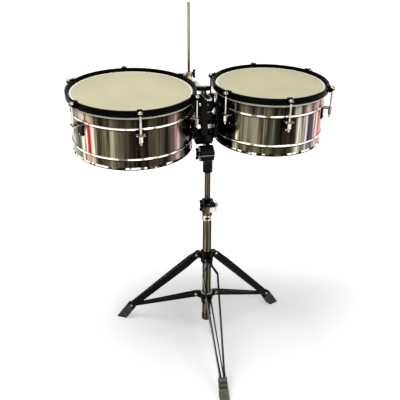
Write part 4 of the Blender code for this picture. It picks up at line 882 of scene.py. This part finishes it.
add_piece("bell_post", lathe(post_profile(POST_FOOT, POST_TOP, POST_R), 32), POST_CHROME, "cowbell_post",
          ("cowbell_post",), STAND_AT @ Matrix.Translation((-0.0125, 0.2220, ARM_TOP)))
print("post reaches", round(ARM_TOP + POST_TOP, 3), "m")

# %% [markdown]
# The oval grip is a flat casting with a raised chrome lens on top, and a dark dimple in the middle of that.
# The oval is a circle with one side stretched. The stretch is in the outline and not in the finished piece,
# so the bevel stays even all round.

# %% Oval screw
GRIP_LENGTH, GRIP_WIDTH = 0.0438, 0.0208
GRIP_FOOT, GRIP_TOP = 0.8410, 0.8532


def oval(length, width, sides=48):
    return [(length / 2 * math.cos(2 * math.pi * i / sides), width / 2 * math.sin(2 * math.pi * i / sides))
            for i in range(sides)]


def lens_mesh(length, width, low, rise):
    """Ovals that shrink as they rise, each with its share of the size and of the height."""
    steps = [(1.0, 0.0), (0.96, 0.55), (0.80, 0.82), (0.5, 0.95), (0.24, 1.0)]
    bm = bmesh.new()
    rings = [[bm.verts.new((x * s, y * s, low + rise * t)) for x, y in oval(length, width)] for s, t in steps]
    join_rings(bm, rings)
    bm.faces.new(rings[-1])
    bm.faces.new(rings[0][::-1])
    return bm


stem = [(0.0, 0.8431), (0.0078, 0.8431), (0.0080, 0.8345), (0.0078, 0.8342), (0.0040, 0.8342),
        (0.0040, 0.8045), (0.0, 0.8045)]
dimple = [(0.0, 0.8549), (0.0020, 0.8550), (0.0029, 0.8546), (0.0029, 0.8540), (0.0, 0.8540)]
grip = plate(oval(GRIP_LENGTH, GRIP_WIDTH), GRIP_FOOT, GRIP_TOP)
screw_at = Matrix.Translation((PIVOT.x, PIVOT.y, 0))
for name, bm, finish, bevel, segments in (
        ("oval_grip", grip, GLOSS_BLACK, 0.0022, 4),
        ("oval_screw_stem", lathe(stem, 32), STEEL, 0.0, 2),
        ("oval_lens", lens_mesh(0.0270, 0.0104, GRIP_TOP - 0.0002, 0.0018), BRIGHT_CHROME, 0.0, 2),
        ("oval_dimple", lathe(dimple, 24), CAST_BLACK, 0.0, 2)):
    add_piece(name, bm, finish, "t_handle_screw", ("t_handle_screw",), screw_at, bevel, segments)
print("oval grip is", round(1000 * GRIP_LENGTH), "by", round(1000 * GRIP_WIDTH), "mm")

# %% [markdown]
# ## Column and height clamp
#
# The upper tube slides in the lower one. A chrome socket on the lower tube carries a black split jaw, which
# the clamp's bolt pulls tight on the upper tube. A collar with a small dark window sits below it, and a cap
# closes the lower end of the column.

# %% Tubes, cap, window and clamp
TUBE_R, TUBE_BORE = 0.0143, 0.0131
INNER_TUBE_R = 0.009525
outer_tube = rounded_box(TUBE_BORE, TUBE_R, 0.4965, 0.0760, 0.0004)
inner_tube = [(0.0, 0.6236), (0.0088, 0.6236), (INNER_TUBE_R, 0.6230), (INNER_TUBE_R, 0.3006),
              (0.0089, 0.3001), (0.0, 0.3001)]
cap = filleted([(0.0, 0.0691), (0.0155, 0.0691), (0.0155, 0.0910), (TUBE_R, 0.0910), (0.0, 0.0910)], 0.0012,
               closed=False)
pane = [(0.01445, 0.4493), (0.01462, 0.4495), (0.01462, 0.4560), (0.01445, 0.4562)]
add_piece("lower_tube", lathe(outer_tube, closed=True), BASE_CHROME, "stand_column", ("base_tube",))
add_piece("upper_tube", lathe(inner_tube), UPPER_CHROME, "height_tube", ("height_tube",))
add_piece("column_cap", lathe(cap), UPPER_CHROME, "stand_column", ("base_tube",))
softened("window_collar_ring", "window_collar", "stand_column", BRIGHT_CHROME, 0.0006)
add_piece("window_pane", lathe(pane, 64), GLOSS_BLACK, "stand_column", ("window_collar",))
softened("clamp_socket", "clamp_base", "stand_column", BASE_CHROME, 0.0010, BRIGHT_CHROME,
         lambda spot: math.hypot(spot.x, spot.y) > 0.0194)
softened("clamp_split_jaw", "clamp_jaw", "stand_column", CAST_BLACK, 0.0012)
print("column is", round(2000 * TUBE_R, 1), "mm across, its upper tube", round(2000 * INNER_TUBE_R, 1), "mm")

# %% [markdown]
# ## Tripod
#
# Each leg and each brace is a pair of steel strips. They are softened copies of the frame's, because every
# hole and bend has to stay where the stand folds. The ends of the rivets and pins get a steel finish: a face
# belongs to one when it lies close to the pin's axis and outside the strip. The collar has a pale nylon bush.

# %% Hub, collar, legs and braces
LEG_TURNS = {"front": math.radians(-93.0), "right": math.radians(27.0), "left": math.radians(147.0)}
HUB_PIN = (0.0323, 0.3110)
COLLAR_PIN = (0.0342, 0.1598)
FOOT_RIVET = (0.2796, 0.0541)
PIN_HEAD_R = 0.0056
HUB_STRIP, FOOT_STRIP, BRACE_STRIP = 0.0099, 0.0091, 0.0096    # a strip's outside, from the leg's middle


def on_pin_ends(turn, pins):
    """A test for a face on the end of a pin. A pin is a spot of (out, up) and the strip's outside there."""
    out = Vector((math.cos(turn), math.sin(turn), 0))
    across = Vector((-math.sin(turn), math.cos(turn), 0))

    def test(spot):
        return any(math.hypot(spot.dot(out) - r, spot.z - z) < PIN_HEAD_R and abs(spot.dot(across)) > strip
                   for (r, z), strip in pins)
    return test


softened("hub_casting", "leg_hub", "stand_column", CAST_BLACK, 0.0012)
softened("collar_casting", "brace_collar", "brace_collar", CAST_BLACK, 0.0012)
for name, turn in LEG_TURNS.items():
    leg, brace = name + "_leg", name + "_brace"
    softened(leg + "_strips", leg, leg, LEG_BLACK, 0.0006, STEEL,
             on_pin_ends(turn, [(HUB_PIN, HUB_STRIP), (FOOT_RIVET, FOOT_STRIP)]))
    softened(brace + "_strips", brace, brace, BRACE_BLACK, 0.0005, STEEL,
             on_pin_ends(turn, [(COLLAR_PIN, BRACE_STRIP)]))
bush = filleted([(0.0146, 0.1700), (0.0187, 0.1700), (0.0187, 0.1747), (0.0146, 0.1752)], 0.0010)
add_piece("collar_bush", lathe(bush, 64, closed=True), NYLON, "brace_collar", ("brace_collar",))
print("strips dressed for", len(LEG_TURNS), "legs")

# %% [markdown]
# ## Rubber boots
#
# A boot flares from a narrow mouth, where the two strips go in, to a wide sole cut level with the floor. It
# is a stack of rounded rectangles along the leg, pulled in twice for the grooves. Everything below the floor
# is sliced off, which gives the sole its slant. The mouth is a hollow with a thin lip.

# %% Measures of a boot
# Along the leg is s, from the hub pin. Across it in the leg's plane is w, upwards, and sideways is v.
LEG_OUT, LEG_DOWN = FOOT_RIVET[0] - HUB_PIN[0], HUB_PIN[1] - FOOT_RIVET[1]
SLOPE, LEG_LENGTH = math.atan2(LEG_DOWN, LEG_OUT), math.hypot(LEG_DOWN, LEG_OUT)
SOLE_OUT = 0.3180 - HUB_PIN[0]
SOLE_S = SOLE_OUT * math.cos(SLOPE) + HUB_PIN[1] * math.sin(SLOPE)
SOLE_W = SOLE_OUT * math.sin(SLOPE) - HUB_PIN[1] * math.cos(SLOPE)
MOUTH_S = LEG_LENGTH + 0.0040
HALF_W, MOUTH_V, SOLE_V = 0.0155, 0.0120, 0.0155
GROOVE = 0.94
PAST_SOLE = 1.5                # the stack goes on below the floor, and is sliced off there
BOOT_STEPS = [(0.00, GROOVE), (0.03, 1.0), (0.22, 1.0), (0.25, GROOVE), (0.31, GROOVE), (0.34, 1.0),
              (0.44, 1.0), (0.47, GROOVE), (0.53, GROOVE), (0.56, 1.0), (0.80, 1.0), (PAST_SOLE, 1.0)]
print("boot flares over", round(1000 * (SOLE_S - MOUTH_S)), "mm")

# %% The boot's shape
def rounded_ring(bm, s, w, half_w, half_v, radius, steps=5):
    """One rounded rectangle across the leg, as a ring of corners."""
    spots = []
    for turn, sign_w, sign_v in ((0, 1, 1), (1, -1, 1), (2, -1, -1), (3, 1, -1)):
        for k in range(steps + 1):
            a = (turn + k / steps) * math.pi / 2
            spots.append(bm.verts.new((s, w + sign_w * (half_w - radius) + radius * math.cos(a),
                                       sign_v * (half_v - radius) + radius * math.sin(a))))
    return spots


def boot_mesh():
    bm = bmesh.new()
    rings = [rounded_ring(bm, MOUTH_S + 0.0190, SOLE_W * 0.2, 0.0130, 0.0092, 0.002),
             rounded_ring(bm, MOUTH_S + 0.0005, 0.0, 0.0133, 0.0093, 0.002),
             rounded_ring(bm, MOUTH_S + 0.0001, 0.0, 0.0140, 0.0101, 0.002)]
    for t, tight in BOOT_STEPS:
        s, half_v = MOUTH_S + t * (SOLE_S - MOUTH_S), MOUTH_V + (SOLE_V - MOUTH_V) * t / PAST_SOLE
        rings.append(rounded_ring(bm, s, SOLE_W * t, HALF_W * tight, half_v * tight, 0.004))
    join_rings(bm, rings)
    bm.faces.new(rings[0])
    bm.faces.new(rings[-1][::-1])
    floor_spot = (HUB_PIN[1] / math.sin(SLOPE), 0, 0)
    up = (-math.sin(SLOPE), math.cos(SLOPE), 0)
    bmesh.ops.bisect_plane(bm, geom=bm.verts[:] + bm.edges[:] + bm.faces[:], plane_co=floor_spot, plane_no=up,
                           clear_inner=True)
    bmesh.ops.edgeloop_fill(bm, edges=[edge for edge in bm.edges if edge.is_boundary])
    return bm


def leg_axes(turn):
    """Origin on the hub pin, X down the leg, Y on its outer side, Z across it."""
    on_pin = Matrix.Rotation(turn, 4, "Z") @ Matrix.Translation((HUB_PIN[0], 0, HUB_PIN[1]))
    return STAND_AT @ on_pin @ Matrix.Rotation(SLOPE, 4, "Y") @ FACE_FRONT


print("boot helpers ready")

# %% Three boots, with painted shade in the grooves, at the sole's foot and at the mouth
boot = mesh_of(boot_mesh(), "boot_rubber_shape", BOOT_RUBBER_LIT)
boot.materials.append(BOOT_GROOVE_SHADE)
# the grooves, the sole's foot and the mouth get the painted shade
for face in boot.polygons:
    share = (face.center.x - MOUTH_S) / (SOLE_S - MOUTH_S)
    height = HUB_PIN[1] - face.center.x * math.sin(SLOPE) + face.center.y * math.cos(SLOPE)
    in_groove = 0.23 < share < 0.335 or 0.45 < share < 0.55
    face.material_index = int(in_groove or height < 0.007 or share < 0.015)
for name, turn in LEG_TURNS.items():
    shape = boot.copy()
    # the front boot is painted lighter as lit, the side boots darker as shade
    shape.materials[0] = BOOT_RUBBER_LIT if name == "front" else BOOT_RUBBER_SHADED
    shape.transform(leg_axes(turn))
    put(name + "_rubber_boot", shape, name + "_leg", (name + "_boot",))
print("boots on:", list(LEG_TURNS))

# %% [markdown]
# ## Floor, light and background
#
# The floor is a wide pale sheet. The lamps light it, and to the camera and to anything shiny it also glows a
# little, more so further out, so that it comes out white there and still carries the stand's soft shadow. The
# room behind is plain white to the camera in the same way. Two large soft lamps and the room give about as
# much light as the colours need to come out as written.

# %% Floor
WHITE = (1, 1, 1, 1)
FLOOR_COLOUR = (0.96, 0.96, 0.96, 1.0)
GLOW_FROM, GLOW_TO = 0.38, 1.00                # distances from the stand's foot, in metres
GLOW_NEAR, GLOW_FAR = 0.36, 0.95


def seen_ray(tree):
    """1 for a ray from the camera, also by way of a shiny or clear piece, and 0 for the light on things."""
    ray = wire(tree, "LightPath")
    seen = sum_of(tree, "MAXIMUM", ray.outputs["Is Camera Ray"], ray.outputs["Is Glossy Ray"])
    return sum_of(tree, "MAXIMUM", seen, ray.outputs["Is Transmission Ray"])


def white_floor():
    finish = bpy.data.materials.new("pale_floor")
    finish.use_nodes = True
    tree = finish.node_tree
    tree.nodes.clear()
    far = wire(tree, "VectorMath", {0: wire(tree, "NewGeometry").outputs["Position"]}, operation="LENGTH")
    lift = spread(tree, far.outputs["Value"], GLOW_FROM, GLOW_TO, GLOW_NEAR, GLOW_FAR)
    seen_lift = sum_of(tree, "MULTIPLY", seen_ray(tree), lift)
    matt = wire(tree, "BsdfDiffuse", {"Color": FLOOR_COLOUR})
    glow = wire(tree, "Emission", {"Color": WHITE, "Strength": seen_lift})
    both = wire(tree, "AddShader", {0: matt.outputs[0], 1: glow.outputs[0]})
    wire(tree, "OutputMaterial", {"Surface": both.outputs[0]})
    return finish


sheet = bmesh.new()
bmesh.ops.create_grid(sheet, x_segments=8, y_segments=8, size=14.0)
floor = bpy.data.objects.new("studio_floor", mesh_of(sheet, "studio_floor", white_floor()))
floor.location = (0, 6, -0.0004)
bpy.context.scene.collection.objects.link(floor)
floor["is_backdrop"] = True
print("floor is", round(floor.dimensions.x), "m across")

# %% Room and lamps
ROOM_LIGHT = 0.27              # how strongly the room lights things. To the camera it is plain white.
LAMP_TARGET = (0, 0, 0.5)
LAMP_SIZE = 1.2


def white_room():
    world = bpy.data.worlds.new("white_room")
    bpy.context.scene.world = world
    world.use_nodes = True
    tree = world.node_tree
    tree.nodes.clear()
    dim = wire(tree, "Background", {"Color": WHITE, "Strength": ROOM_LIGHT})
    full = wire(tree, "Background", {"Color": WHITE, "Strength": 1.0})
    both = wire(tree, "MixShader", {0: seen_ray(tree), 1: dim.outputs[0], 2: full.outputs[0]})
    wire(tree, "OutputWorld", {"Surface": both.outputs[0]})


def soft_lamp(name, spot, power):
    lamp = bpy.data.lights.new(name, "AREA")
    lamp.size = LAMP_SIZE
    lamp.energy = power
    holder = bpy.data.objects.new(name, lamp)
    holder.location = spot
    holder.rotation_euler = (Vector(LAMP_TARGET) - Vector(spot)).to_track_quat("-Z", "Y").to_euler()
    bpy.context.scene.collection.objects.link(holder)


white_room()
soft_lamp("key_lamp", (-0.9, -0.3, 3.2), 44.0)
soft_lamp("fill_lamp", (0.9, -2.4, 2.0), 18.0)
bpy.context.scene.view_settings.view_transform = "Standard"
print("two lamps and a white room")

# %% [markdown]
# ## Last check
#
# The dressed model's box is measured and printed.

# %% Measure and finish
print("dressed box in metres:", measured_box())
